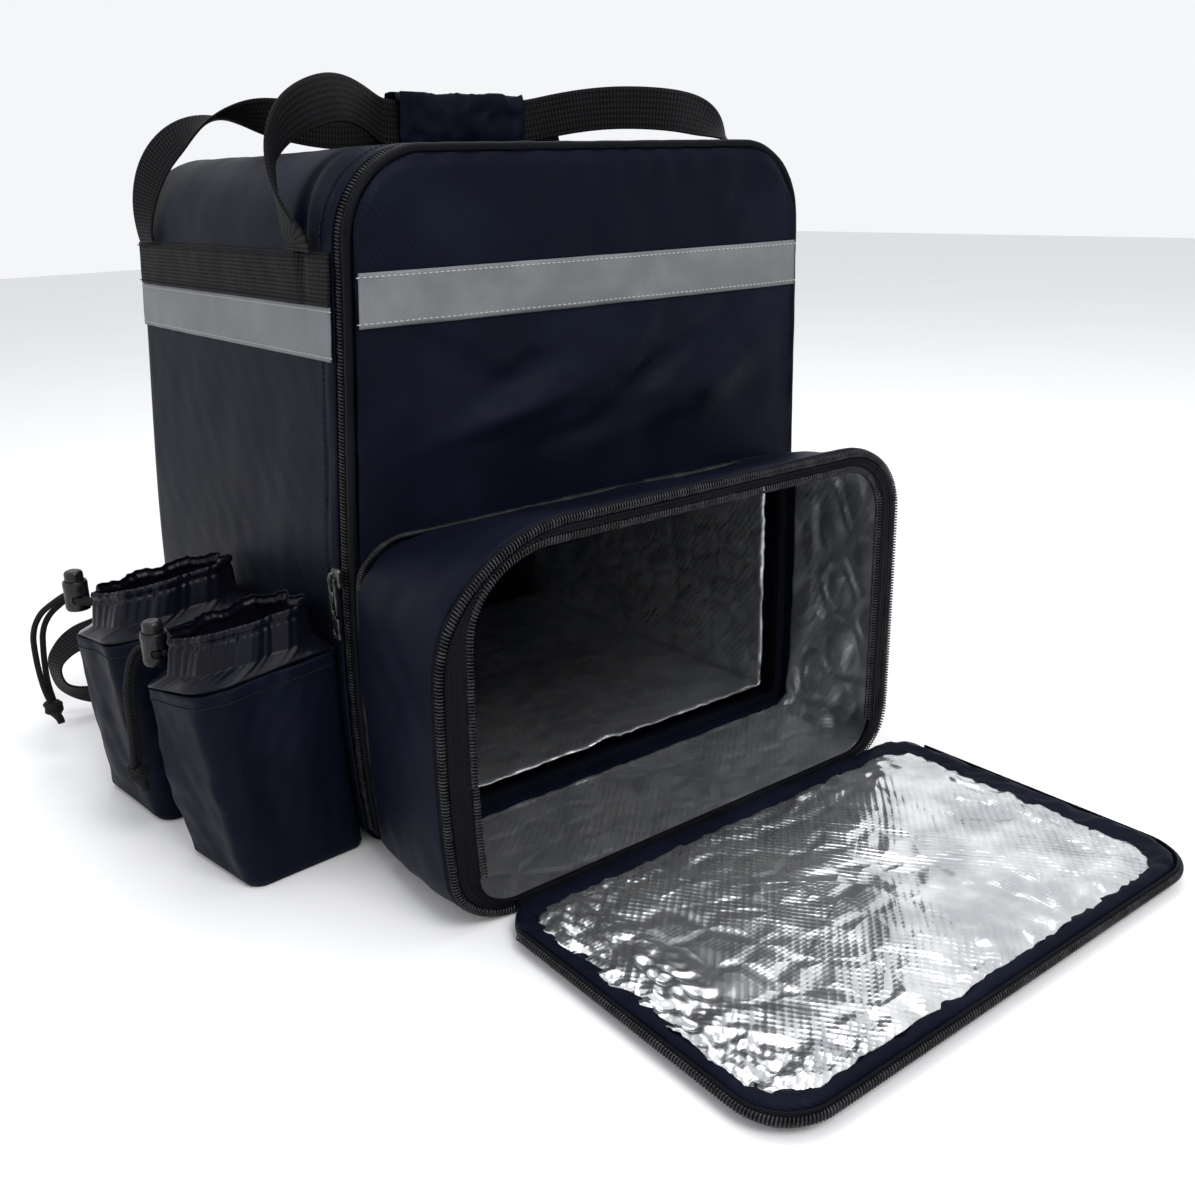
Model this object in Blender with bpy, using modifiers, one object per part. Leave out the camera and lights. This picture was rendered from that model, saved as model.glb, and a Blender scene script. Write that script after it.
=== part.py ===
"""Insulated delivery backpack, in metres, +Z up.

The origin is the centre of the main body's footprint on the floor. The front faces -Y and the cup pockets are
on the left side, at -X. Cloth walls are lofted through loops of one rounded outline, and one soft function
settles every piece that is sewn to the body, so that neighbours keep their clearances.
"""

import math
from collections import namedtuple

import bmesh
import bpy
import numpy as np
from mathutils import Matrix, Vector
from mathutils.bvhtree import BVHTree

# Clearances
GAP = 0.0003
SEWN_GAP = 0.0007

# Main body
BODY_WIDTH = 0.340
BODY_DEPTH = 0.325
BODY_HEIGHT = 0.408
TOP_RADIUS = 0.050
BASE_RADIUS = 0.014
BODY_WALL = 0.006
PANEL_WALL = 0.008
LINING_WALL = 0.0012
LINING_LIFT = 0.0055
LEFT_SWELL = 0.0145
RIGHT_SWELL = 0.003
BODY_LEAN = 0.006
BASE_SPREAD = 0.62
BELLY_SPREAD = 0.75
TOP_SAG = 0.008
FRONT_CROWN = 0.004
CROWN_BORDER = 0.012
CROWN_LOW_FADE = 0.045
CROWN_HIGH_FADE = 0.040
BACK_PANEL_EDGE = 0.0035
DOORWAY_BORDER = 0.0105

# Zippers and piping
ZIPPER_WIDTH = 0.0072
ZIPPER_OUTER_INSET = 0.0006
ZIPPER_INNER_INSET = 0.0062
COIL_RADIUS = 0.0023
COIL_INSET = 0.0030
PIPING_RADIUS = 0.0026
PIPING_SET_BACK = 0.0008

# Lower front extension and its flap
EXTENSION_DEPTH = 0.100
EXTENSION_HEIGHT = 0.2005
EXTENSION_WALL = 0.0030
EXTENSION_SAG = 0.005
EXTENSION_RADIUS = 0.028
EXTENSION_SET_IN = 0.0064
EXTENSION_LINING_LIFT = 0.0018
EXTENSION_LINING_END = 0.985
MOUTH_HEIGHT = 0.2215
MOUTH_LEFT_FLARE = 0.0085
MOUTH_RIGHT_TUCK = 0.010
MOUTH_LEFT_RADIUS = 0.075
MOUTH_RIGHT_RADIUS = 0.048
MOUTH_BASE_RADIUS = 0.034
RIM_EDGE = 0.0058
RIM_SIDE = 0.0162
RIM_TOP = 0.0097
RIM_BASE = 0.0088
RIM_WALL = 0.0025
FLAP_LENGTH = 0.212
FLAP_WIDTH = 0.335
FLAP_THICKNESS = 0.014
FLAP_FAR_RADIUS = 0.028
FLAP_NEAR_RADIUS = 0.022
FOIL_LEFT_BORDER = 0.0045
FOIL_FAR_BORDER = 0.0060
FOIL_RIGHT_BORDER = 0.0180
FOIL_NEAR_BORDER = 0.0150
FLAP_FOIL_WALL = 0.0015
FOIL_SWELL = 0.0020
FOIL_WAVE = 0.0005
HINGE_LENGTH = 0.0085
HINGE_WALL = 0.0020
HINGE_TOP = 0.0088
HINGE_SAG = 0.0007

# Reflective tape and webbing
TAPE_WIDTH = 0.029
TAPE_WALL = 0.0008
TAPE_LIFT = 0.0010
TAPE_END_GAP = 0.0012
WEBBING_WIDTH = 0.028
WEBBING_WALL = 0.0018
FRONT_TAPE_SHARE = 0.7696
SIDE_TAPE_SHARE = 0.7255

# Carry handles
HANDLE_RISE = 0.036
HANDLE_FOOT_GAP = 0.0028
HANDLE_FOOT_LEAN = 0.0012
HANDLE_FOOT_RISE = 0.0070
GRIP_LENGTH = 0.100
GRIP_SHIFT = 0.008
GRIP_HEIGHT = 0.039
GRIP_THICKNESS = 0.019
GRIP_WALL = 0.0024
GRIP_LIFT = -0.0025

# Shoulder straps
STRAP_WIDTH = 0.062
STRAP_WALL = 0.011
STRAP_REACH = 0.052
STRAP_WEB_WIDTH = 0.025
STRAP_WEB_SPREAD = 0.170
LOCK_FRAME_WIDTH = 0.033
LOCK_FRAME_HEIGHT = 0.024
LOCK_FRAME_WALL = 0.0035
LOCK_FRAME_DROP = 0.0010
LOCK_FRAME_SET_IN = 0.0018

# Cup pockets
POCKET_REACH = 0.0965
POCKET_HEIGHT = 0.132
POCKET_WALL = 0.0020
POCKET_FALL_BACK = 0.13
POCKET_FALL_OUT = 0.085
COLLAR_HEIGHT = 0.029
COLLAR_WALL = 0.0012
COLLAR_DRAW = 0.0065
RUFFLE_COUNT = 9
RUFFLE_DEPTH = 0.0022

# Drawcords and cord locks
CORD_DIAMETER = 0.0040
BARREL_DIAMETER = 0.0160
BARREL_HEIGHT = 0.0200
BUTTON_DIAMETER = 0.0120
BUTTON_HEAD = 0.0070
BUTTON_TRAVEL = 0.0025
BUTTON_SHOULDER = 0.0018
BARREL_FLOOR = 0.0022
BARREL_SIDES = 14
SLOT_SIDE_GAP = 0.0018
SLOT_HEIGHT_GAP = 0.0010
KNOT_DIAMETER = 0.0120
KNOT_SIDES = 10

# Main slider and its two-piece pull
SLIDER_LENGTH = 0.0120
SLIDER_WIDTH = 0.0084
SLIDER_BODY = 0.0042
SLIDER_HEIGHT = 0.1765
BRIDGE_RISE = 0.0042
BRIDGE_WIDTH = 0.0024
BRIDGE_SINK = 0.0005
BRIDGE_LENGTH = 0.0096
WINDOW_LENGTH = 0.0054
PIN_DIAMETER = 0.0016
PIN_PLAY = 0.0012
PIN_SIDES = 10
LINK_LENGTH = 0.0200
LINK_WIDTH = 0.0078
TAG_LENGTH = 0.0135
TAG_WIDTH = 0.0084
TAG_HOLE = 0.0046
PULL_WALL = 0.0016
RAIL_PLAY = 0.0016
RAIL_OVERHANG = 0.0012
WEB_LOW = 0.0052
SLEEVE_WALL = 0.0007
SLEEVE_PLAY = 0.0003
SLEEVE_SIDES = 12
NECK_LENGTH = 0.0040
NECK_REACH = 0.0030

HALF_WIDTH = BODY_WIDTH / 2
HALF_DEPTH = BODY_DEPTH / 2
FRONT_FACE = -HALF_DEPTH
PANEL_BACK = FRONT_FACE + PANEL_WALL
ZIPPER_FRONT = PANEL_BACK + GAP
ZIPPER_BACK = ZIPPER_FRONT + ZIPPER_WIDTH
SHELL_FRONT = ZIPPER_BACK + SEWN_GAP
SHELL_BACK = HALF_DEPTH - PANEL_WALL - SEWN_GAP
MOUTH_PLANE = FRONT_FACE - EXTENSION_DEPTH
FRONT_TAPE_HEIGHT = FRONT_TAPE_SHARE * BODY_HEIGHT
SIDE_TAPE_HEIGHT = SIDE_TAPE_SHARE * BODY_HEIGHT

Radii = namedtuple("Radii", "base_left base_right top_right top_left")
Finish = namedtuple("Finish", "colour roughness metallic")
Station = namedtuple("Station", "x y z across_x across_y across_z")
Fold = namedtuple("Fold", "x z spread_x spread_z turn depth")
Section = namedtuple("Section", "along grow rise sag")
Pocket = namedtuple(
    "Pocket",
    "name outer_front outer_rear panel_front panel_rear floor_front floor_rear top_front top_rear lock_in lock_up",
)

# Places of the shell's loops from the front zipper to the back panel, closest where the side is creased
SHELL_ROWS = (0.0, 0.13, 0.26, 0.48, 0.76, 1.0)

CORNER_STEPS = 4
BASE_STEPS = 3
SIDE_STEPS = 5
TOP_STEPS = 5

FINISHES = {
    "oxford": Finish((0.012, 0.014, 0.026, 1), 0.75, 0.0),
    "webbing": Finish((0.018, 0.018, 0.020, 1), 0.85, 0.0),
    "foil": Finish((0.80, 0.81, 0.82, 1), 0.22, 1.0),
    "reflective": Finish((0.30, 0.31, 0.32, 1), 0.45, 0.2),
    "coil": Finish((0.030, 0.030, 0.034, 1), 0.50, 0.0),
    "collar_nylon": Finish((0.020, 0.021, 0.030, 1), 0.40, 0.0),
    "cord": Finish((0.022, 0.022, 0.026, 1), 0.80, 0.0),
    "plastic": Finish((0.045, 0.046, 0.052, 1), 0.42, 0.0),
    "metal": Finish((0.12, 0.12, 0.13, 1), 0.38, 0.9),
}

# Creases and bulges of the front panel: shares of half the width and of the height, depth as a share of the
# crown
FRONT_FOLDS = (
    Fold(-0.30, 0.62, 0.34, 0.050, 38, 0.80),
    Fold(0.16, 0.60, 0.40, 0.040, 52, -0.75),
    Fold(0.45, 0.57, 0.26, 0.055, 40, 0.60),
    Fold(-0.10, 0.93, 0.20, 0.030, -48, -0.50),
    Fold(-0.62, 0.58, 0.22, 0.060, -20, 0.40),
)

# Creases of the sides: shares of half the depth and of the height, depth as a share of the left swell
SIDE_FOLDS = (
    Fold(-0.66, 0.915, 0.11, 0.028, 62, -0.24),
    Fold(-0.30, 0.930, 0.24, 0.040, 0, 0.10),
    Fold(0.55, 0.940, 0.22, 0.040, 0, -0.10),
)

# Sections of the extension from the front panel to the mouth, as shares of its depth, flare, rise and sag
EXTENSION_SECTIONS = (
    Section(0.00, 0.00, 0.00, 0.0),
    Section(0.055, 0.00, 0.02, 0.0),
    Section(0.14, 0.50, 0.16, 0.3),
    Section(0.60, 0.80, 0.62, 1.0),
    Section(1.00, 1.00, 1.00, 0.0),
)

# Webbing handles: x and y as shares of half the width and depth, z as shares of the rise above the body's top
FRONT_HANDLE = (
    Station(-1.010, -0.708, -1.53, 0.00, 1.00, 0.00),
    Station(-1.024, -0.660, -1.16, 0.25, 0.97, 0.00),
    Station(-1.030, -0.600, -0.86, 0.58, 0.81, 0.00),
    Station(-1.024, -0.586, -0.46, 0.62, 0.78, 0.00),
    Station(-1.012, -0.572, -0.04, 0.60, 0.80, 0.10),
    Station(-0.958, -0.530, 0.26, 0.40, 0.75, 0.50),
    Station(-0.860, -0.450, 0.54, 0.05, 0.62, 0.75),
    Station(-0.710, -0.345, 0.76, 0.20, 0.50, 0.82),
    Station(-0.560, -0.230, 0.84, 0.28, 0.42, 0.85),
    Station(-0.420, -0.115, 0.70, 0.20, 0.20, 0.95),
    Station(-0.320, -0.034, 0.52, 0.05, 0.00, 1.00),
    Station(-0.250, -0.026, 0.47, 0.00, 0.00, 1.00),
    Station(0.050, -0.026, 0.46, 0.00, 0.00, 1.00),
    Station(0.345, -0.026, 0.47, 0.00, 0.00, 1.00),
    Station(0.440, -0.090, 0.58, 0.00, 0.08, 1.00),
    Station(0.600, -0.250, 0.70, 0.00, 0.05, 1.00),
    Station(0.770, -0.390, 0.66, 0.00, 0.05, 1.00),
    Station(0.900, -0.490, 0.54, 0.30, 0.10, 1.00),
    Station(0.985, -0.555, 0.26, 0.50, 0.60, 0.60),
    Station(1.045, -0.590, -0.20, 0.20, 1.00, 0.15),
    Station(1.056, -0.600, -0.80, 0.05, 1.00, 0.00),
    Station(1.036, -0.600, -1.53, 0.00, 1.00, 0.00),
)
REAR_HANDLE = (
    Station(-1.010, 0.792, -1.53, 0.00, 1.00, 0.00),
    Station(-0.998, 0.785, -0.75, -0.25, 0.97, 0.00),
    Station(-0.950, 0.745, -0.10, -0.40, 0.88, 0.20),
    Station(-0.870, 0.680, 0.36, -0.25, 0.85, 0.40),
    Station(-0.780, 0.590, 0.62, 0.25, 0.90, 0.25),
    Station(-0.690, 0.500, 0.70, 0.55, 0.75, -0.30),
    Station(-0.590, 0.400, 0.66, 0.30, 0.35, -0.90),
    Station(-0.490, 0.280, 0.52, 0.10, 0.10, -1.00),
    Station(-0.390, 0.150, 0.42, 0.00, 0.00, -1.00),
    Station(-0.320, 0.036, 0.46, 0.00, 0.00, -1.00),
    Station(-0.250, 0.026, 0.46, 0.00, 0.00, -1.00),
    Station(0.050, 0.026, 0.46, 0.00, 0.00, -1.00),
    Station(0.345, 0.026, 0.46, 0.00, 0.00, -1.00),
    Station(0.450, 0.150, 0.50, 0.00, 0.10, -1.00),
    Station(0.580, 0.330, 0.62, -0.15, 0.25, -1.00),
    Station(0.730, 0.480, 0.70, -0.50, 0.70, -0.50),
    Station(0.870, 0.620, 0.58, -0.60, 0.80, 0.00),
    Station(0.975, 0.720, 0.18, -0.30, 0.90, 0.00),
    Station(1.045, 0.775, -0.45, -0.10, 1.00, 0.00),
    Station(1.036, 0.792, -1.53, 0.00, 1.00, 0.00),
)

# Shoulder pad: x as shares of half the width, y as shares of the reach behind the back, z as shares of the
# height
SHOULDER_PAD = (
    Station(0.36, 0.10, 0.930, 1, 0, 0),
    Station(0.37, 0.40, 0.955, 1, 0, 0),
    Station(0.39, 0.72, 0.900, 1, 0, 0),
    Station(0.42, 0.92, 0.760, 1, 0, 0),
    Station(0.46, 0.98, 0.600, 1, 0, 0),
    Station(0.52, 0.92, 0.450, 1, 0, 0),
    Station(0.58, 0.78, 0.320, 1, 0, 0),
)

# Webbing below the pad: x as shares of the spread past the pad's end, y and z as above
STRAP_WEB = (
    Station(0.00, 0.68, 0.305, 1.0, 0.0, 0.0),
    Station(0.00, 0.66, 0.245, 1.0, 0.1, 0.0),
    Station(0.08, 0.62, 0.196, 0.8, 0.4, 0.4),
    Station(0.32, 0.57, 0.168, 0.2, 0.75, 0.62),
    Station(0.62, 0.52, 0.161, 0.0, 0.78, 0.62),
    Station(0.86, 0.47, 0.154, 0.0, 0.85, 0.50),
    Station(0.975, 0.43, 0.128, 0.1, 1.0, 0.15),
    Station(1.00, 0.39, 0.097, 0.1, 1.0, -0.10),
    Station(0.965, 0.34, 0.064, 0.1, 0.9, -0.45),
    Station(0.84, 0.28, 0.042, 0.0, 0.60, -0.80),
    Station(0.62, 0.20, 0.037, 0.0, 0.25, -0.97),
    Station(0.40, 0.035, 0.037, 0.0, 0.0, -1.0),
)

# Pocket corners: y as shares of half the depth, reaches as shares of the pocket's reach, and the cord lock's
# place in and up from the outer rear corner as shares of the barrel's height
POCKETS = (
    Pocket("front", -0.917, -0.474, -0.886, -0.345, 0.782, 0.896, 0.880, 1.030, 0.815, 0.94),
    Pocket("rear", -0.211, 0.321, -0.185, 0.295, 0.915, 0.998, 1.000, 1.030, 0.470, 1.14),
)

# Routes of the drawcord pairs from their cord lock to the knot, chosen by hand, in metres from the lock's slot;
# the across vector, in cord diameters, parts the two cords
CORD_ROUTES = {
    "front": (
        Station(0.0000, -0.0104, 0.0000, -0.58, 0.00, 0.00),
        Station(0.0000, 0.0000, 0.0000, -0.58, 0.00, 0.00),
        Station(-0.0004, 0.0100, -0.0002, -0.58, 0.00, 0.00),
        Station(-0.0035, 0.0152, -0.0024, -0.56, 0.00, 0.14),
        Station(-0.0088, 0.0168, -0.0090, -0.50, -0.20, 0.22),
        Station(-0.0126, 0.0164, -0.0190, -0.50, -0.32, 0.00),
        Station(-0.0150, 0.0158, -0.0300, -0.46, -0.38, 0.00),
        Station(-0.0158, 0.0150, -0.0500, -0.45, -0.38, 0.00),
        Station(-0.0178, 0.0145, -0.0740, -0.42, -0.40, 0.00),
    ),
    "rear": (
        Station(0.0078, -0.0178, -0.0004, -0.38, -0.44, 0.00),
        Station(0.0040, -0.0146, -0.0002, -0.40, -0.42, 0.00),
        Station(0.0010, -0.0116, 0.0000, -0.50, -0.29, 0.00),
        Station(0.0000, -0.0070, 0.0000, -0.58, 0.00, 0.00),
        Station(0.0000, 0.0000, 0.0000, -0.58, 0.00, 0.00),
        Station(-0.0004, 0.0104, -0.0003, -0.58, 0.00, 0.00),
        Station(-0.0034, 0.0200, -0.0046, -0.62, 0.00, 0.10),
        Station(-0.0141, 0.0330, -0.0170, -0.72, -0.20, 0.30),
        Station(-0.0188, 0.0378, -0.0280, -0.80, -0.20, 0.16),
        Station(-0.0205, 0.0400, -0.0390, -0.78, -0.20, 0.00),
        Station(-0.0207, 0.0425, -0.0645, -0.55, -0.32, 0.00),
        Station(-0.0180, 0.0440, -0.0835, -0.38, -0.45, 0.00),
    ),
}


def clear_scene():
    for obj in list(bpy.data.objects):
        bpy.data.objects.remove(obj, do_unlink=True)


def new_collection(name):
    made = bpy.data.collections.new(name)
    bpy.context.scene.collection.children.link(made)
    return made


def material_for(name):
    """One Principled material of the named finish, made once."""
    found = bpy.data.materials.get(name)
    if found:
        return found
    finish = FINISHES[name]
    made = bpy.data.materials.new(name)
    made.use_nodes = True
    shader = made.node_tree.nodes["Principled BSDF"]
    shader.inputs["Base Color"].default_value = finish.colour
    shader.inputs["Roughness"].default_value = finish.roughness
    shader.inputs["Metallic"].default_value = finish.metallic
    return made


def add_object(name, mesh, finish, smooth=True):
    made = bpy.data.objects.new(name, mesh)
    own = material_for(finish).copy()
    own.name = name
    mesh.materials.clear()
    mesh.materials.append(own)
    bpy.data.collections["insulated_backpack"].objects.link(made)
    if smooth:
        mesh.shade_smooth()
        mesh.set_sharp_from_angle(angle=math.radians(40))
    return made


def loft(name, loops, finish, closed_loop=True, caps=True, around=False):
    """A surface through loops of equal length, closed by end caps or by joining the last loop to the first."""
    shape = bmesh.new()
    rows = [[shape.verts.new(point) for point in loop] for loop in loops]
    following = rows[1:] + rows[:1] if around else rows[1:]
    count = len(rows[0])
    for near, far in zip(rows, following):
        for i in range(count if closed_loop else count - 1):
            j = (i + 1) % count
            shape.faces.new((near[i], near[j], far[j], far[i]))
    if caps:
        shape.faces.new(rows[0][::-1])
        shape.faces.new(rows[-1])
    bmesh.ops.recalc_face_normals(shape, faces=shape.faces)
    mesh = bpy.data.meshes.new(name)
    shape.to_mesh(mesh)
    shape.free()
    return add_object(name, mesh, finish)


def thicken(obj, wall, offset=-1):
    """A wall on an open surface: offset -1 grows it against the normals, 1 along them."""
    modifier = obj.modifiers.new("wall", "SOLIDIFY")
    modifier.thickness = wall
    modifier.offset = offset
    modifier.use_even_offset = True
    return obj


def face_out(obj, inside):
    """Turns an open surface so that its normals point away from a point inside it."""
    mesh = obj.data
    total = sum((face.center - Vector(inside)).dot(face.normal) * face.area for face in mesh.polygons)
    if total < 0:
        mesh.flip_normals()
    return obj


def smooth_step(share):
    share = np.clip(share, 0, 1)
    return share * share * (3 - 2 * share)


def rounded_outline(left, right, low, high, radii):
    """An (n, 2) loop of x and z, anticlockwise seen from the front, from the base's left end."""
    sides = (
        ((left + radii.base_left, low), (right - radii.base_right, low), BASE_STEPS, radii.base_right),
        ((right, low + radii.base_right), (right, high - radii.top_right), SIDE_STEPS, radii.top_right),
        ((right - radii.top_right, high), (left + radii.top_left, high), TOP_STEPS, radii.top_left),
        ((left, high - radii.top_left), (left, low + radii.base_left), SIDE_STEPS, radii.base_left),
    )
    points = []
    for index, (start, end, steps, radius) in enumerate(sides):
        start, end = np.array(start), np.array(end)
        points.extend(start + (end - start) * step / steps for step in range(steps))
        heading = math.radians(90 * index)
        centre = end + radius * np.array((-math.sin(heading), math.cos(heading)))
        for step in range(CORNER_STEPS):
            angle = heading - math.pi / 2 + step * math.pi / 2 / CORNER_STEPS
            points.append(centre + radius * np.array((math.cos(angle), math.sin(angle))))
    return np.array(points)


def inset_outline(left, right, low, high, radii, inset):
    shrunk = Radii(*(max(radius - inset, 0.004) for radius in radii))
    return rounded_outline(left + inset, right - inset, low + inset, high - inset, shrunk)


def body_outline(inset=0.0):
    radii = Radii(BASE_RADIUS, BASE_RADIUS, TOP_RADIUS, TOP_RADIUS)
    return inset_outline(-HALF_WIDTH, HALF_WIDTH, 0, BODY_HEIGHT, radii, inset)


def base_outline(inset=0.0):
    """Where the extension meets the front panel."""
    radii = Radii(BASE_RADIUS, BASE_RADIUS, EXTENSION_RADIUS, EXTENSION_RADIUS)
    return inset_outline(-HALF_WIDTH, HALF_WIDTH, 0, EXTENSION_HEIGHT, radii, inset)


def mouth_outline(inset=0.0):
    radii = Radii(MOUTH_BASE_RADIUS, MOUTH_BASE_RADIUS, MOUTH_RIGHT_RADIUS, MOUTH_LEFT_RADIUS)
    left, right = -HALF_WIDTH - MOUTH_LEFT_FLARE, HALF_WIDTH - MOUTH_RIGHT_TUCK
    return inset_outline(left, right, 0, MOUTH_HEIGHT, radii, inset)


def opening_outline(inset=0.0):
    """The rim's inner edge, wide at the sides and narrow over the top and along the floor."""
    left, right = -HALF_WIDTH - MOUTH_LEFT_FLARE + RIM_SIDE, HALF_WIDTH - MOUTH_RIGHT_TUCK - RIM_SIDE
    base_radius = MOUTH_BASE_RADIUS * 0.6
    radii = Radii(base_radius, base_radius, MOUTH_RIGHT_RADIUS * 0.72, MOUTH_LEFT_RADIUS * 0.62)
    return inset_outline(left, right, RIM_BASE, MOUTH_HEIGHT - RIM_TOP, radii, inset)


def fold_relief(folds, x, z):
    """The sum of slanted soft ridges and creases at shares x and z."""
    relief = np.zeros_like(x)
    for fold in folds:
        turn = math.radians(fold.turn)
        along = (x - fold.x) * math.cos(turn) + (z - fold.z) * math.sin(turn)
        over = (z - fold.z) * math.cos(turn) - (x - fold.x) * math.sin(turn)
        relief += fold.depth * np.exp(-((along / fold.spread_x) ** 2) - (over / fold.spread_z) ** 2)
    return relief


def settled(points):
    """The soft set of the filled body: the sides swell low down, the top leans to the right and sags."""
    x, y, z = np.array(points, float).T
    height = np.clip(z / BODY_HEIGHT, 0, 1)
    side = np.clip(x / HALF_WIDTH, -1, 1)
    swell = BASE_SPREAD * (1 - height) ** 1.5 + BELLY_SPREAD * np.sin(math.pi * height**0.62) ** 1.5
    reach = np.where(side < 0, -LEFT_SWELL, RIGHT_SWELL)
    folds = -LEFT_SWELL * fold_relief(SIDE_FOLDS, y / HALF_DEPTH, height) * np.where(side < 0, 1, -0.5)
    x = x + (reach * swell + folds) * np.abs(side) ** 3 + BODY_LEAN * height
    middle = np.cos(side * math.pi / 2) ** 3
    run = np.clip((y + HALF_DEPTH) / BODY_DEPTH, 0, 1)
    z = z - TOP_SAG * middle * np.sin(math.pi * run) ** 2 * smooth_step((height - 0.75) * 4)
    return np.column_stack((x, y, z))


def front_relief(x, z):
    """How far the front panel's face stands out past its flat plane; nothing along its border and its lower part."""
    across = 1 - np.clip(np.abs(x) / (HALF_WIDTH - CROWN_BORDER), 0, 1) ** 4
    low = smooth_step((z - EXTENSION_HEIGHT - CROWN_BORDER) / CROWN_LOW_FADE)
    high = smooth_step((BODY_HEIGHT - CROWN_BORDER - z) / CROWN_HIGH_FADE)
    folds = fold_relief(FRONT_FOLDS, x / HALF_WIDTH, z / BODY_HEIGHT)
    return FRONT_CROWN * across * low * high * (0.5 + folds)


def at_depth(outline, y):
    return settled(np.column_stack((outline[:, 0], np.full(len(outline), y), outline[:, 1])))


def body_band(name, start, end, inset, rows, finish, wall):
    loops = [at_depth(body_outline(inset), start + (end - start) * row) for row in rows]
    band = loft(name, loops, finish, caps=False)
    return thicken(face_out(band, (0, 0, BODY_HEIGHT / 2)), wall)


def ring_tube(name, outline_points, radius, finish, closed=True, sides=4):
    """A thin tube along a loop of points, with its section in the plane across each step."""
    path = np.array(outline_points)
    ahead, behind = np.roll(path, -1, axis=0), np.roll(path, 1, axis=0)
    if not closed:
        ahead[-1], behind[0] = path[-1], path[0]
    tangent = ahead - behind
    tangent /= np.linalg.norm(tangent, axis=1)[:, None]
    outward = np.array((0.0, 1.0, 0.0))
    across = np.cross(tangent, outward)
    across /= np.linalg.norm(across, axis=1)[:, None]
    up = np.cross(across, tangent)
    turns = (np.arange(sides) + 0.5) * 2 * math.pi / sides
    side, rise = radius * np.cos(turns)[:, None], radius * np.sin(turns)[:, None]
    loops = [p + side * a + rise * u for p, a, u in zip(path, across, up)]
    return loft(name, loops, finish, caps=not closed, around=closed)


def open_run(points):
    """The stretch of a loop from the foot of the right side, over the top, to the foot of the left side."""
    start = BASE_STEPS + CORNER_STEPS
    end = start + SIDE_STEPS + CORNER_STEPS + TOP_STEPS + CORNER_STEPS + SIDE_STEPS
    return points[start:end + 1]


def build_body():
    body_band("body_shell", SHELL_FRONT, SHELL_BACK, 0.0, SHELL_ROWS, "oxford", BODY_WALL)
    lining_inset = BODY_WALL + LINING_LIFT
    body_band("body_lining", SHELL_FRONT, SHELL_BACK - GAP, lining_inset, (0, 0.5, 1), "foil", LINING_WALL)
    loops = (
        at_depth(body_outline(BACK_PANEL_EDGE), HALF_DEPTH - PANEL_WALL),
        at_depth(body_outline(), HALF_DEPTH - PANEL_WALL * 0.6),
        at_depth(body_outline(BACK_PANEL_EDGE), HALF_DEPTH),
    )
    loft("back_panel", loops, "oxford")
    build_front_panel()
    section = (
        (ZIPPER_OUTER_INSET, ZIPPER_FRONT), (ZIPPER_OUTER_INSET, ZIPPER_BACK),
        (ZIPPER_INNER_INSET, ZIPPER_BACK), (ZIPPER_INNER_INSET, ZIPPER_FRONT),
    )
    loops = [at_depth(body_outline(inset), y) for inset, y in section]
    loft("main_zipper", loops, "coil", caps=False, around=True)
    piping_plane = PANEL_BACK - GAP - PIPING_RADIUS - PIPING_SET_BACK
    piping = at_depth(body_outline(PIPING_RADIUS + GAP), piping_plane)
    ring_tube("front_piping", open_run(piping), PIPING_RADIUS, "oxford", closed=False)


def build_front_panel():
    """The padded front: loops from the hole into the extension out to the panel's edge, then a wall."""
    inner = base_outline(EXTENSION_WALL + DOORWAY_BORDER)
    outer = body_outline(PIPING_RADIUS * (1 + math.sqrt(0.5)) + GAP + SEWN_GAP)
    loops = []
    for share in (0, 0.16, 0.38, 0.60, 0.82, 1):
        flat = inner + (outer - inner) * share
        relief = front_relief(flat[:, 0], flat[:, 1])
        loops.append(settled(np.column_stack((flat[:, 0], FRONT_FACE - relief, flat[:, 1]))))
    panel = loft("front_panel", loops, "oxford", caps=False)
    if sum(face.normal.y * face.area for face in panel.data.polygons) > 0:
        panel.data.flip_normals()
    return thicken(panel, PANEL_WALL)


def extension_loop(section, inset):
    """One loop of the extension, between the base's outline and the mouth's, with the sag of its top."""
    start, end = base_outline(inset + EXTENSION_SET_IN * (1 - section.grow)), mouth_outline(inset)
    flat = start + (end - start) * np.array((section.grow, section.rise))
    across = np.clip(flat[:, 0] / HALF_WIDTH, -1, 1)
    top = smooth_step((flat[:, 1] / EXTENSION_HEIGHT - 0.8) * 5)
    flat[:, 1] -= EXTENSION_SAG * section.sag * top * np.cos(across * math.pi / 2)
    y = FRONT_FACE - GAP - (EXTENSION_DEPTH - GAP) * section.along
    return at_depth(flat, y)


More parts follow.
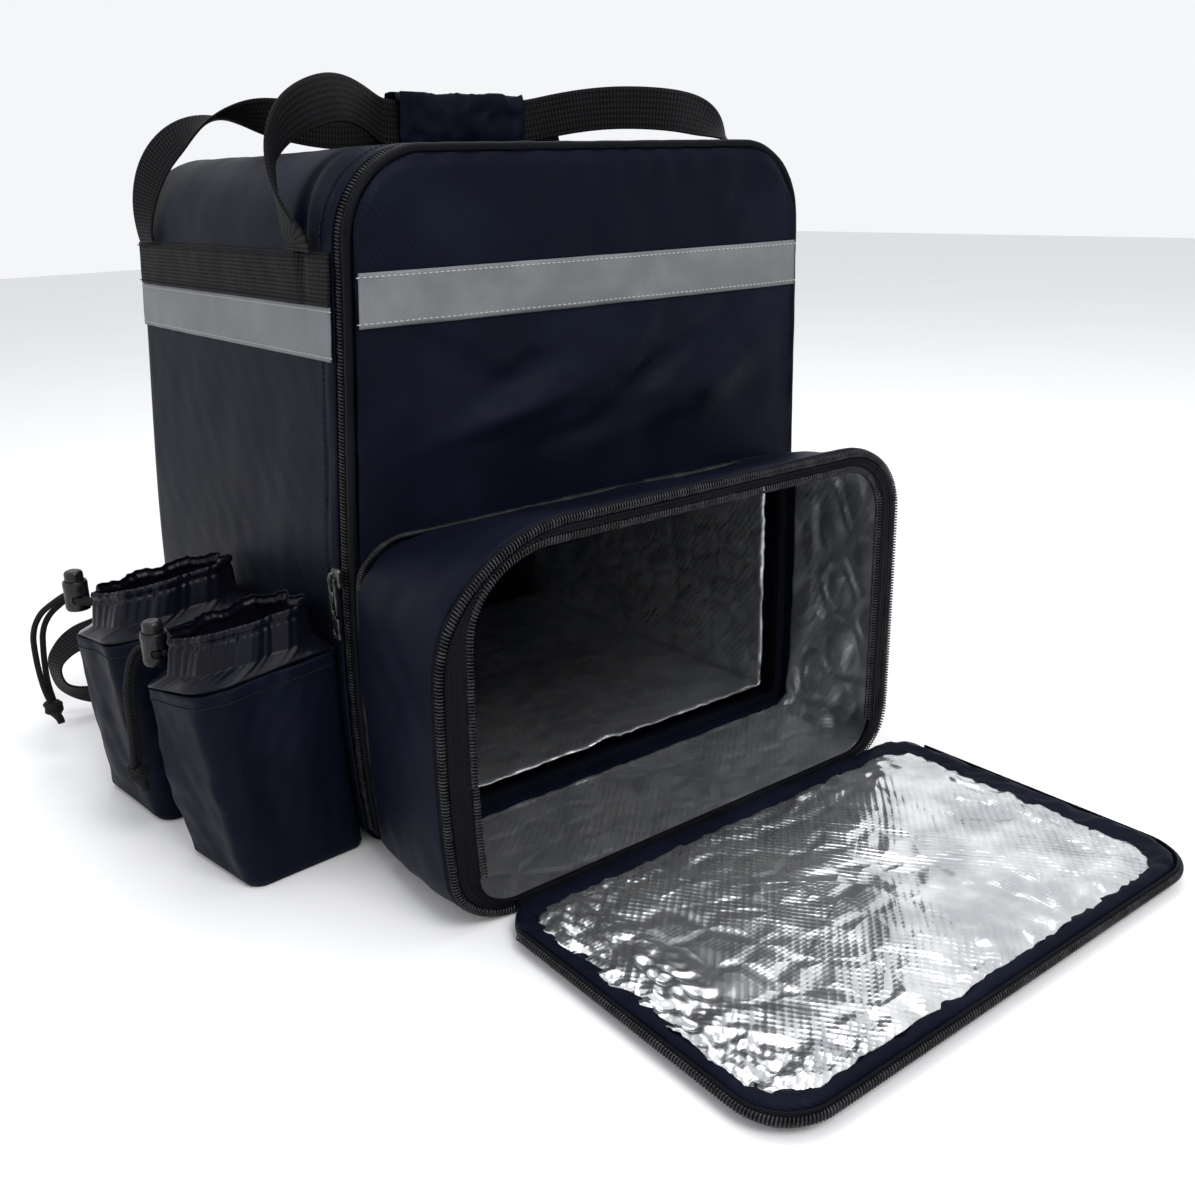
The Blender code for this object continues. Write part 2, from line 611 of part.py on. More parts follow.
def build_extension():
    loops = [extension_loop(section, 0) for section in EXTENSION_SECTIONS]
    inside = (0, FRONT_FACE - EXTENSION_DEPTH / 2, EXTENSION_HEIGHT / 2)
    shell = face_out(loft("extension_shell", loops, "oxford", caps=False), inside)
    thicken(shell, EXTENSION_WALL)
    lined = [row._replace(along=min(row.along, EXTENSION_LINING_END)) for row in EXTENSION_SECTIONS[2:]]
    loops = [extension_loop(section, EXTENSION_WALL + EXTENSION_LINING_LIFT) for section in lined]
    lining = face_out(loft("extension_lining", loops, "foil", caps=False), inside)
    thicken(lining, LINING_WALL)
    seam = at_depth(base_outline(COIL_INSET), FRONT_FACE - COIL_RADIUS - GAP)
    ring_tube("base_zipper", seam, COIL_RADIUS, "coil")
    coil_plane = MOUTH_PLANE - GAP - COIL_RADIUS
    ring_tube("depth_zipper", at_depth(mouth_outline(COIL_INSET), coil_plane), COIL_RADIUS, "coil")
    front, back = MOUTH_PLANE - GAP, MOUTH_PLANE - GAP - RIM_WALL
    outer, inner = mouth_outline(RIM_EDGE), opening_outline()
    section = ((outer, front), (inner, front), (inner, back), (outer, back))
    loops = [at_depth(outline, y) for outline, y in section]
    loft("mouth_rim", loops, "oxford", caps=False, around=True)
    mouth = at_depth(opening_outline(COIL_RADIUS + GAP), coil_plane)
    ring_tube("mouth_zipper", open_run(mouth), COIL_RADIUS, "coil", closed=False)


def flap_outline(inset=0.0):
    """The flap's plan as x and y, anticlockwise seen from above, its near edge at the hinge."""
    near = MOUTH_PLANE - GAP - RIM_WALL - HINGE_LENGTH
    radii = Radii(FLAP_FAR_RADIUS, FLAP_FAR_RADIUS, FLAP_NEAR_RADIUS, FLAP_NEAR_RADIUS)
    half = FLAP_WIDTH / 2
    return inset_outline(-half, half, near - FLAP_LENGTH, near, radii, inset)


def foil_outline():
    """The foil's plan on the flap, with its own border along each edge."""
    near = MOUTH_PLANE - GAP - RIM_WALL - HINGE_LENGTH - FOIL_NEAR_BORDER
    far = near + FOIL_NEAR_BORDER - FLAP_LENGTH + FOIL_FAR_BORDER
    left, right = -FLAP_WIDTH / 2 + FOIL_LEFT_BORDER, FLAP_WIDTH / 2 - FOIL_RIGHT_BORDER
    radii = Radii(FLAP_FAR_RADIUS, FLAP_FAR_RADIUS, FLAP_NEAR_RADIUS, FLAP_NEAR_RADIUS)
    return rounded_outline(left, right, far, near, radii)


def at_level(outline, z):
    return np.column_stack((outline[:, 0], outline[:, 1], np.broadcast_to(z, len(outline))))


def foil_relief(x, y):
    """Shallow quilted waves of the flap's foil, as two slanted trains with their turns in radians per metre."""
    return FOIL_WAVE * (np.sin(x * 62 + y * 38) + np.sin(x * 27 - y * 71 + 1.3))


def build_flap():
    rounding = FLAP_THICKNESS * 0.28
    loops = (
        at_level(flap_outline(rounding), 0),
        at_level(flap_outline(0), rounding),
        at_level(flap_outline(0), FLAP_THICKNESS - rounding),
        at_level(flap_outline(rounding), FLAP_THICKNESS),
    )
    loft("flap_panel", loops, "oxford")
    edge = foil_outline()
    centre = edge.mean(axis=0)
    loops = []
    for share in (1.0, 0.84, 0.52, 0.16):
        flat = centre + (edge - centre) * share
        swell = (1 - share**4) * FOIL_SWELL
        relief = foil_relief(flat[:, 0], flat[:, 1]) * (1 - share**6)
        loops.append(at_level(flat, FLAP_THICKNESS + SEWN_GAP + swell + relief))
    foil = loft("flap_foil", loops, "foil", caps=False)
    cap_end(foil, len(edge))
    if sum(face.normal.z * face.area for face in foil.data.polygons) < 0:
        foil.data.flip_normals()
    thicken(foil, FLAP_FOIL_WALL, 1)
    coil = at_level(flap_outline(-COIL_RADIUS - GAP), FLAP_THICKNESS * 0.60)
    first = BASE_STEPS + CORNER_STEPS + SIDE_STEPS
    last = first + CORNER_STEPS + TOP_STEPS + CORNER_STEPS
    run = np.concatenate((coil[last:], coil[:first + 1]))
    flat_ring_tube("flap_zipper", run, COIL_RADIUS, "coil")
    build_hinge()


def cap_end(obj, count):
    """Closes the small last loop of an open surface."""
    shape = bmesh.new()
    shape.from_mesh(obj.data)
    shape.verts.ensure_lookup_table()
    shape.faces.new(shape.verts[-count:])
    bmesh.ops.recalc_face_normals(shape, faces=shape.faces)
    shape.to_mesh(obj.data)
    shape.free()


def flat_ring_tube(name, path, radius, finish):
    """A four-sided tube along an open run that lies level."""
    tangent = np.gradient(path, axis=0)
    tangent /= np.linalg.norm(tangent, axis=1)[:, None]
    up = np.array((0.0, 0.0, 1.0))
    across = np.cross(tangent, up)
    turns = (np.arange(4) + 0.5) * math.pi / 2
    side, rise = radius * np.cos(turns)[:, None], radius * np.sin(turns)[:, None]
    return loft(name, [p + side * a + rise * up for p, a in zip(path, across)], finish)


def build_hinge():
    """The cloth strip between the mouth's lower rim and the flap's near edge."""
    start = MOUTH_PLANE - GAP - RIM_WALL - GAP
    end = start - HINGE_LENGTH + 2 * GAP
    left = -HALF_WIDTH - MOUTH_LEFT_FLARE + RIM_SIDE + MOUTH_BASE_RADIUS * 0.5
    right = HALF_WIDTH - MOUTH_RIGHT_TUCK - RIM_SIDE - MOUTH_BASE_RADIUS * 0.5
    profile = [(share, HINGE_TOP - HINGE_SAG * fall) for share, fall in ((0, 0), (0.35, 1), (0.70, 1), (1, 0.3))]
    loops = []
    for x in np.linspace(left, right, 7):
        ring = [(x, start + (end - start) * share, height) for share, height in profile]
        ring += [(x, start + (end - start) * share, height - HINGE_WALL) for share, height in profile[::-1]]
        loops.append(settled(ring))
    loft("flap_hinge", loops, "oxford")


def side_patch(name, side, low, width, finish, wall):
    """A band sewn along one side of the body, from the front zipper to the back panel."""
    loops = []
    for z in (low, low + width):
        y = SHELL_FRONT + (SHELL_BACK - SHELL_FRONT) * np.array(SHELL_ROWS)
        x = np.full(len(y), side * (HALF_WIDTH + SEWN_GAP))
        loops.append(settled(np.column_stack((x, y, np.full(len(y), z)))))
    patch = loft(name, loops, finish, closed_loop=False, caps=False)
    return thicken(face_out(patch, (0, 0, low)), wall, 1)


def build_trim():
    for name, side in (("left", -1), ("right", 1)):
        side_patch(f"{name}_reflective_strip", side, SIDE_TAPE_HEIGHT, TAPE_WIDTH, "reflective", TAPE_WALL)
        band_low = SIDE_TAPE_HEIGHT + TAPE_WIDTH + GAP
        side_patch(f"{name}_side_webbing", side, band_low, WEBBING_WIDTH, "webbing", WEBBING_WALL)
    build_front_strip()


def build_front_strip():
    """The tape across the front panel, laid on the panel's own facets."""
    panel = bpy.data.objects["front_panel"].data
    corners = [tuple(vertex.co) for vertex in panel.vertices]
    tree = BVHTree.FromPolygons(corners, [tuple(face.vertices) for face in panel.polygons])
    half = HALF_WIDTH - 2 * PIPING_RADIUS - TAPE_END_GAP
    loops = []
    for z in np.linspace(FRONT_TAPE_HEIGHT, FRONT_TAPE_HEIGHT + TAPE_WIDTH, 3):
        before = FRONT_FACE - 5 * FRONT_CROWN
        line = settled([(x, before, z) for x in np.linspace(-half, half, 17)])
        row = []
        for x, y, height in line:
            found = tree.ray_cast(Vector((x, y, height)), Vector((0, 1, 0)))[0]
            row.append((x, found.y - TAPE_LIFT, height))
        loops.append(row)
    strip = loft("front_reflective_strip", loops, "reflective", closed_loop=False, caps=False)
    thicken(face_out(strip, (0, 0, FRONT_TAPE_HEIGHT)), TAPE_WALL, 1)


def curve_through(rows, count):
    """Points of a smooth curve through the rows (Catmull-Rom), evenly many on each stretch."""
    rows = np.array(rows, float)
    padded = np.vstack((2 * rows[0] - rows[1], rows, 2 * rows[-1] - rows[-2]))
    points = []
    for share in np.linspace(0, len(rows) - 1, count):
        i = min(int(share), len(rows) - 2)
        t = share - i
        a, b, c, d = padded[i:i + 4]
        square, cube = 2 * a - 5 * b + 4 * c - d, 3 * b - a - 3 * c + d
        points.append(0.5 * (2 * b + (c - a) * t + square * t**2 + cube * t**3))
    return np.array(points)


def ribbon(name, centres, across, width, wall, finish, count):
    """A flat strap along a curve, its width turned to follow the across vectors."""
    centres = np.array(centres)
    path = curve_through(np.column_stack((centres, across)), count)
    centre, across = path[:, :3], path[:, 3:]
    tangent = np.gradient(centre, axis=0)
    tangent[0], tangent[-1] = centres[1] - centres[0], centres[-1] - centres[-2]
    tangent /= np.linalg.norm(tangent, axis=1)[:, None]
    across -= (across * tangent).sum(axis=1)[:, None] * tangent
    across /= np.linalg.norm(across, axis=1)[:, None]
    face = np.cross(tangent, across)
    corners = ((-1, -1), (1, -1), (1, 1), (-1, 1))
    half = (width / 2, wall / 2)
    loops = [[c + a * half[0] * i + f * half[1] * j for i, j in corners] for c, a, f in zip(centre, across, face)]
    return loft(name, loops, finish)


def handle_stations(rows):
    """Centres and across vectors of one handle, with both feet set on the body's sides."""
    centres = [
        (row.x * HALF_WIDTH, row.y * HALF_DEPTH, BODY_HEIGHT + row.z * HANDLE_RISE) for row in rows
    ]
    across = [(row.across_x, row.across_y, row.across_z) for row in rows]
    foot = SIDE_TAPE_HEIGHT + TAPE_WIDTH + WEBBING_WIDTH + GAP + SEWN_GAP
    side = HALF_WIDTH + HANDLE_FOOT_GAP + WEBBING_WALL / 2
    left, right = (handle_foot(sign * side, centres[end][1], foot) for end, sign in ((0, -1), (-1, 1)))
    rise = np.array((HANDLE_FOOT_LEAN, 0, HANDLE_FOOT_RISE))
    centres = [left, left + rise * (-1, 1, 1), *centres[1:-1], right + rise, right]
    return centres, [across[0], *across, across[-1]]


def handle_foot(side, y, z):
    """The foot of a handle on the body's side, at the outermost place under its width."""
    seats = settled([(side, y + share * WEBBING_WIDTH, z) for share in (-0.6, -0.3, 0, 0.3, 0.6)])
    outermost = seats[:, 0].max() if side > 0 else seats[:, 0].min()
    return np.array((outermost, y, z))


def build_handles():
    for name, rows in (("front_handle", FRONT_HANDLE), ("rear_handle", REAR_HANDLE)):
        centres, across = handle_stations(rows)
        ribbon(name, centres, across, WEBBING_WIDTH, WEBBING_WALL, "webbing", 2 * len(centres) - 1)
    build_grip()


def build_grip():
    """The hook-and-loop wrap: a sheet rolled once round both handles, with its edges overlapped."""
    loops = []
    middle = BODY_HEIGHT + GRIP_LIFT + GRIP_HEIGHT / 2
    turns = np.linspace(math.radians(-60), math.radians(325), 17)
    flares = ((-1.0, 1.05), (-0.55, 1.0), (0.55, 1.0), (1.0, 1.03))
    for along, flare in flares:
        growth = 1 + 0.34 * smooth_step((turns - math.radians(200)) / math.radians(110))
        half_y = (GRIP_THICKNESS / 2 - GRIP_WALL) * flare * growth
        half_z = (GRIP_HEIGHT / 2 - GRIP_WALL) * flare * (1 + (growth - 1) * 0.45)
        y = half_y * np.sign(np.sin(turns)) * np.abs(np.sin(turns)) ** 0.5
        z = middle + half_z * np.sign(np.cos(turns)) * np.abs(np.cos(turns)) ** 0.5
        loops.append(np.column_stack((np.full(len(y), GRIP_SHIFT + along * GRIP_LENGTH / 2), y, z)))
    wrap = loft("handle_grip", loops, "oxford", closed_loop=False, caps=False)
    thicken(face_out(wrap, (0, 0, middle)), GRIP_WALL, 1)


def strap_point(row, x):
    return (x, HALF_DEPTH + row.y * STRAP_REACH, row.z * BODY_HEIGHT)


def build_shoulder_straps():
    for name, side in (("left", -1), ("right", 1)):
        centres = [strap_point(row, side * row.x * HALF_WIDTH) for row in SHOULDER_PAD]
        across = [(row.across_x, row.across_y, row.across_z) for row in SHOULDER_PAD]
        padded_strap(f"{name}_shoulder_strap", centres, across)
        end = SHOULDER_PAD[-1].x * HALF_WIDTH
        centres = [strap_point(row, side * (end + row.x * STRAP_WEB_SPREAD)) for row in STRAP_WEB]
        across = [(side * row.across_x, row.across_y, row.across_z) for row in STRAP_WEB]
        ribbon(f"{name}_strap_webbing", centres, across, STRAP_WEB_WIDTH, WEBBING_WALL, "webbing", 24)
        build_adjuster(name, side)


def build_adjuster(name, side):
    """The ladder lock under the pad: a flat frame with two windows, in front of the webbing's end."""
    pad = SHOULDER_PAD[-1]
    x = side * pad.x * HALF_WIDTH
    y = HALF_DEPTH + pad.y * STRAP_REACH - LOCK_FRAME_SET_IN
    z = pad.z * BODY_HEIGHT - LOCK_FRAME_HEIGHT / 2 - LOCK_FRAME_DROP
    size = (LOCK_FRAME_WIDTH, LOCK_FRAME_WALL, LOCK_FRAME_HEIGHT)
    frame = add_object(f"{name}_ladder_lock", mesh_box("frame", (x, y, z), size), "plastic", smooth=False)
    window = (LOCK_FRAME_WIDTH * 0.80, 3 * LOCK_FRAME_WALL, LOCK_FRAME_HEIGHT * 0.29)
    for offset in (-0.22, 0.22):
        centre = (x, y, z + offset * LOCK_FRAME_HEIGHT)
        boolean(frame, mesh_box(f"{name}_lock_window", centre, window), "DIFFERENCE")


def padded_strap(name, centres, across):
    """A shoulder pad: a flat rounded section along its curve, with soft edges."""
    path = curve_through(np.column_stack((centres, across)), 13)
    centre, across = path[:, :3], path[:, 3:]
    tangent = np.gradient(centre, axis=0)
    tangent /= np.linalg.norm(tangent, axis=1)[:, None]
    face = np.cross(tangent, across)
    corners = ((-1, -0.35), (-0.8, -1), (0.8, -1), (1, -0.35), (1, 0.35), (0.8, 1), (-0.8, 1), (-1, 0.35))
    loops = []
    for i, (c, a, f) in enumerate(zip(centre, across, face)):
        taper = 1 - 0.25 * smooth_step((i / (len(centre) - 1) - 0.7) / 0.3)
        loops.append([c + a * STRAP_WIDTH / 2 * taper * p + f * STRAP_WALL / 2 * q for p, q in corners])
    loft(name, loops, "oxford")


def unit_loop(outer_radius, panel_radius, steps=3):
    """A rounded unit square, u from the panel outwards and v from front to rear, with a point on each side."""
    corners = ((1, 0, outer_radius), (1, 1, outer_radius), (0, 1, panel_radius), (0, 0, panel_radius))
    points = []
    for index, (u, v, radius) in enumerate(corners):
        centre = np.array((u + radius * (1 - 2 * u), v + radius * (1 - 2 * v)))
        for step in range(steps + 1):
            angle = math.radians(90 * (index - 1) + 90 * step / steps)
            points.append(centre + radius * np.array((math.cos(angle), math.sin(angle))))
        after = corners[(index + 1) % 4]
        points.append((np.array((u, v)) + np.array(after[:2])) / 2)
    return np.array(points)


def resampled(loop, count):
    """Evenly spaced points along a closed loop."""
    closed = np.vstack((loop, loop[:1]))
    lengths = np.concatenate(((0,), np.cumsum(np.linalg.norm(np.diff(closed, axis=0), axis=1))))
    marks = np.arange(count) / count * lengths[-1]
    return np.column_stack([np.interp(marks, lengths, closed[:, axis]) for axis in (0, 1)])


def pocket_plan(pocket, unit, share):
    """Plan points of a pocket at a share of its height, with the height of its top edge at each of them."""
    u, v = unit.T
    panel_y = pocket.panel_front + (pocket.panel_rear - pocket.panel_front) * v
    outer_y = pocket.outer_front + (pocket.outer_rear - pocket.outer_front) * v
    y = HALF_DEPTH * (panel_y + (outer_y - panel_y) * u)
    floor = pocket.floor_front + (pocket.floor_rear - pocket.floor_front) * v
    top = pocket.top_front + (pocket.top_rear - pocket.top_front) * v
    reach = POCKET_REACH * (floor + (top - floor) * share) * u
    behind = y - pocket.panel_front * HALF_DEPTH
    height = POCKET_HEIGHT - POCKET_FALL_BACK * behind - POCKET_FALL_OUT * reach
    return -HALF_WIDTH - SEWN_GAP - reach, y, height


def beside_body(x, y, z):
    """Points beside the body that move with its left side, whatever their own distance from it."""
    on_side = settled(np.column_stack((np.full(len(x), -HALF_WIDTH), y, z)))
    return np.column_stack((x + on_side[:, 0] + HALF_WIDTH, y, z))


def build_pocket(pocket):
    """The pouch: its floor, and walls that lean out to the top edge."""
    rows = ((0.0, 0.12, 0.55), (0.0, 0.12, 0.955), (0.03, 0.13, 1), (0.50, 0.17, 1), (1.0, 0.22, 1))
    loops = []
    for share, radius, scale in rows:
        unit = 0.5 + (unit_loop(radius, 0.07) - 0.5) * scale
        x, y, height = pocket_plan(pocket, unit, share)
        loops.append(beside_body(x, y, GAP + (height - GAP) * share))
    pouch = loft(f"{pocket.name}_cup_pocket", loops[::-1], "oxford", caps=False)
    cap_end(pouch, len(loops[0]))
    face_out(pouch, (loops[-1][:, 0].mean(), loops[-1][:, 1].mean(), POCKET_HEIGHT / 2))
    thicken(pouch, POCKET_WALL)


def build_collar(pocket):
    """The gathered drawcord collar: its ruffles grow as it draws in from the pocket's edge to a round rim."""
    count = RUFFLE_COUNT * 4
    waves = np.sin(np.arange(count) * 2 * math.pi / 4 + 0.4)
    loops = []
    for rise, radius, draw, ruffle in ((0.0, 0.25, 0.15, 0.0), (0.24, 0.44, 0.80, 0.6), (1.0, 0.49, 1.0, 1.0)):
        unit = resampled(unit_loop(radius, max(radius - 0.12, 0.1), 5), count)
        x, y, height = pocket_plan(pocket, unit, 1.0)
        centre = np.array((x.mean(), y.mean()))
        away = np.column_stack((x, y)) - centre
        length = np.linalg.norm(away, axis=1)
        inset = COLLAR_DRAW * draw + RUFFLE_DEPTH * ruffle * (1 - waves)
        x, y = (centre + away * ((length - inset) / length)[:, None]).T
        loops.append(beside_body(x, y, height + COLLAR_WALL + GAP + COLLAR_HEIGHT * rise))
    collar = loft(f"{pocket.name}_collar", loops, "collar_nylon", caps=False)
    face_out(collar, (loops[1][:, 0].mean(), centre[1], POCKET_HEIGHT))
    thicken(collar, COLLAR_WALL)


def mesh_box(name, centre, size):
    """A plain box as a mesh, for a solid or a cutter."""
    shape = bmesh.new()
    bmesh.ops.create_cube(shape, size=1, matrix=Matrix.Translation(centre) @ Matrix.Diagonal((*size, 1)))
    mesh = bpy.data.meshes.new(name)
    shape.to_mesh(mesh)
    shape.free()
    return mesh


def mesh_cylinder(name, centre, radius, length, axis, sides=12, top_radius=None):
    shape = bmesh.new()
    turn = Vector((0, 0, 1)).rotation_difference(Vector(axis)).to_matrix().to_4x4()
    far = radius if top_radius is None else top_radius
    bmesh.ops.create_cone(
        shape, cap_ends=True, segments=sides, radius1=radius, radius2=far, depth=length,
        matrix=Matrix.Translation(centre) @ turn,
    )
    mesh = bpy.data.meshes.new(name)
    shape.to_mesh(mesh)
    shape.free()
    return mesh


def place_origin(obj, point):
    """Puts a moving piece's origin on its joint's axis and leaves its solid where it is."""
    obj.data.transform(Matrix.Translation(-Vector(point)))
    obj.location = point
    return obj


def boolean(obj, mesh, operation):
    """Cuts or joins a helper mesh, which is kept in the cutters' collection."""
    helper = bpy.data.objects.new(f"{obj.name}_{operation.lower()}_{len(obj.modifiers)}", mesh)
    bpy.data.collections["cutters"].objects.link(helper)
    helper.hide_render = True
    helper.display_type = "WIRE"
    modifier = obj.modifiers.new(operation.lower(), "BOOLEAN")
    modifier.operation = operation
    modifier.object = helper
    return obj


def lock_centre(pocket):
    """The middle of the cord lock's slot, over the pocket's rear outer corner."""
    x, y, height = pocket_plan(pocket, np.array(((1.0, 1.0),)), 1.0)
    corner = beside_body(x, y, height)[0]
    return corner + BARREL_HEIGHT * np.array((pocket.lock_in, 0, pocket.lock_up))


def build_cord_lock(pocket):
    """A barrel with a through slot for both cords, and a button whose slotted stem slides in its bore."""
    centre = lock_centre(pocket)
    low = centre[2] - BARREL_HEIGHT * 0.42
    middle = (centre[0], centre[1], low + BARREL_HEIGHT / 2)
    name = f"{pocket.name}_lock_barrel"
    wide, narrow = BARREL_DIAMETER / 2, BARREL_DIAMETER / 2 * 0.95
    shape = mesh_cylinder(name, middle, wide, BARREL_HEIGHT, (0, 0, 1), BARREL_SIDES, narrow)
    barrel = add_object(name, shape, "plastic")
    bore_centre = (centre[0], centre[1], low + BARREL_FLOOR + BARREL_HEIGHT / 2)
    bore_radius = BUTTON_DIAMETER / 2 + GAP
    bore = mesh_cylinder(f"{name}_bore", bore_centre, bore_radius, BARREL_HEIGHT, (0, 0, 1), BARREL_SIDES)
    boolean(barrel, bore, "DIFFERENCE")
    slot_size = (2 * CORD_DIAMETER + SLOT_SIDE_GAP, 2 * BARREL_DIAMETER, CORD_DIAMETER + SLOT_HEIGHT_GAP)
    boolean(barrel, mesh_box(f"{name}_slot", centre, slot_size), "DIFFERENCE")
    build_button(pocket, centre, low, slot_size)


def build_button(pocket, centre, low, barrel_slot):
    """The button: its slot is taller than the barrel's by its travel, so the cords stay clear as it goes in."""
    name = f"{pocket.name}_lock_button"
    foot = low + BARREL_FLOOR + BUTTON_TRAVEL + GAP
    top = low + BARREL_HEIGHT + BUTTON_HEAD
    profile = ((foot, 1.0), (top - BUTTON_SHOULDER, 1.0), (top - BUTTON_SHOULDER / 3, 0.86), (top, 0.55))
    turns = np.arange(BARREL_SIDES) * 2 * math.pi / BARREL_SIDES
    loops = [
        np.column_stack((
            centre[0] + BUTTON_DIAMETER / 2 * share * np.cos(turns),
            centre[1] + BUTTON_DIAMETER / 2 * share * np.sin(turns),
            np.full(len(turns), z),
        ))
        for z, share in profile
    ]
    button = place_origin(loft(name, loops, "plastic"), (centre[0], centre[1], top))
    slot_low = centre[2] - CORD_DIAMETER / 2 - GAP
    slot_high = centre[2] + CORD_DIAMETER / 2 + BUTTON_TRAVEL + GAP
    slot_centre = (centre[0], centre[1], (slot_low + slot_high) / 2)
    slot_size = (barrel_slot[0], barrel_slot[1], slot_high - slot_low)
    boolean(button, mesh_box(f"{name}_slot", slot_centre, slot_size), "DIFFERENCE")


def build_cords(pocket):
    """The two cords through the lock, as curves with a round bevel and filled caps, and their common knot."""
    start = lock_centre(pocket)
    route = CORD_ROUTES[pocket.name]
    rows = curve_through(route, len(route) + 5)
    middle, parted = start + rows[:, :3], rows[:, 3:] * CORD_DIAMETER
    for which, sign in (("outer", 1), ("inner", -1)):
        name = f"{pocket.name}_cord_{which}"
        data = bpy.data.curves.new(name, "CURVE")
        data.dimensions = "3D"
        data.bevel_depth = CORD_DIAMETER / 2
        data.bevel_resolution = 2
        data.use_fill_caps = True
        spline = data.splines.new("POLY")
        spline.points.add(len(middle) - 1)
        for target, point in zip(spline.points, middle + sign * parted):
            target.co = (*point, 1)
        cord = bpy.data.objects.new(name, data)
        own = material_for("cord").copy()
        own.name = name
        data.materials.append(own)
        bpy.data.collections["insulated_backpack"].objects.link(cord)
    build_knot(pocket, middle[-1] - np.array((0, 0, CORD_DIAMETER * 0.10 + GAP)))


def build_knot(pocket, top):
    """The stopper knot under both cord ends: a lumpy ball with its short tails below."""
    turns = np.arange(KNOT_SIDES) * 2 * math.pi / KNOT_SIDES
    profile = ((0.0, 0.80), (0.20, 1.04), (0.70, 0.98), (0.98, 0.60), (1.35, 0.50), (1.75, 0.42))
    loops = []
    for fall, share in profile:
        radius = KNOT_DIAMETER / 2 * share * (1 + 0.10 * np.sin(3 * turns + 5 * fall))
        lean = KNOT_DIAMETER * np.array((0.28, 0, 0)) * smooth_step((fall - 0.4) / 1.4)
        loops.append(np.column_stack((
            top[0] + lean[0] + radius * np.cos(turns),
            top[1] + lean[1] + radius * np.sin(turns),
            np.full(KNOT_SIDES, top[2] - KNOT_DIAMETER * 0.8 * fall),
        )))
    loft(f"{pocket.name}_knot", loops, "cord")


def build_pockets():
    for pocket in POCKETS:
        build_pocket(pocket)
        build_collar(pocket)
        build_cord_lock(pocket)
        build_cords(pocket)


def build_slider():
    """The main slider on the left run of the front zipper, its bridge, and the two linked pull plates."""
    y = (ZIPPER_FRONT + ZIPPER_BACK) / 2
    face = settled([(-HALF_WIDTH, y, SLIDER_HEIGHT)])[0, 0] - SEWN_GAP
    size = (SLIDER_BODY, SLIDER_WIDTH, SLIDER_LENGTH)
    body = mesh_box("main_slider", (face - SLIDER_BODY / 2, y, SLIDER_HEIGHT), size)
    slider = add_object("main_slider", body, "metal", smooth=False)
    size = (BRIDGE_RISE + 2 * BRIDGE_SINK, BRIDGE_WIDTH, BRIDGE_LENGTH)
    bridge = mesh_box("main_slider_bridge", (face - SLIDER_BODY - BRIDGE_RISE / 2, y, SLIDER_HEIGHT), size)
    boolean(slider, bridge, "UNION")
    size = (PIN_DIAMETER + PIN_PLAY, 3 * BRIDGE_WIDTH, WINDOW_LENGTH)
    pin_x = face - SLIDER_BODY - BRIDGE_SINK / 5 - size[0] / 2
    boolean(slider, mesh_box("main_slider_window", (pin_x, y, SLIDER_HEIGHT), size), "DIFFERENCE")
    build_link(pin_x, y)
    build_tag(pin_x, y)


def build_link(x, y):
    """The first pull plate, on its pin through the bridge: two rails, a web between them and a lower pin."""
    high, low = SLIDER_HEIGHT, SLIDER_HEIGHT - LINK_LENGTH
    length = LINK_WIDTH - RAIL_PLAY / 2
    pin = mesh_cylinder("pull_link", (x, y, high), PIN_DIAMETER / 2, length, (0, 1, 0), PIN_SIDES)
    link = place_origin(add_object("pull_link", pin, "metal", smooth=False), (x, y, high))
    pin = mesh_cylinder("pull_link_pin", (x, y, low), PIN_DIAMETER / 2, length, (0, 1, 0), PIN_SIDES)
    boolean(link, pin, "UNION")
    rail = (LINK_WIDTH - BRIDGE_WIDTH - RAIL_PLAY) / 2
    for side in (-1, 1):
        centre = (x, y + side * (LINK_WIDTH - rail) / 2, (high + low) / 2)
        size = (PULL_WALL, rail, LINK_LENGTH + 2 * RAIL_OVERHANG)
        boolean(link, mesh_box("pull_link_rail", centre, size), "UNION")
    web_low, web_high = low + WEB_LOW, high - SLIDER_LENGTH / 2 - RAIL_OVERHANG
    size = (PULL_WALL * 0.94, LINK_WIDTH - rail, web_high - web_low)
    boolean(link, mesh_box("pull_link_web", (x, y, (web_low + web_high) / 2), size), "UNION")


def build_tag(x, y):
    """The second pull plate: a sleeve that turns on the link's lower pin, a neck and a plate with a hole."""
    low = SLIDER_HEIGHT - LINK_LENGTH
    length = BRIDGE_WIDTH + RAIL_PLAY / 3
    bore_radius = PIN_DIAMETER / 2 + SLEEVE_PLAY
    sleeve = mesh_cylinder("pull_tag", (x, y, low), bore_radius + SLEEVE_WALL, length, (0, 1, 0), SLEEVE_SIDES)
    tag = place_origin(add_object("pull_tag", sleeve, "metal", smooth=False), (x, y, low))
    plate_high = low - NECK_REACH
    size = (PULL_WALL * 0.9, length * 0.9, NECK_LENGTH)
    neck_z = low - NECK_REACH / 2 - NECK_LENGTH / 5
    boolean(tag, mesh_box("pull_tag_neck", (x, y, neck_z), size), "UNION")
    size = (PULL_WALL, TAG_WIDTH, TAG_LENGTH)
    boolean(tag, mesh_box("pull_tag_plate", (x, y, plate_high - TAG_LENGTH / 2), size), "UNION")
    bore = mesh_cylinder("pull_tag_bore", (x, y, low), bore_radius, 2 * length, (0, 1, 0), SLEEVE_SIDES)
    boolean(tag, bore, "DIFFERENCE")
    hole_centre = (x, y, plate_high - TAG_LENGTH * 0.62)
    hole = mesh_cylinder("pull_tag_hole", hole_centre, TAG_HOLE / 2, 4 * PULL_WALL, (1, 0, 0), SLEEVE_SIDES)
    boolean(tag, hole, "DIFFERENCE")


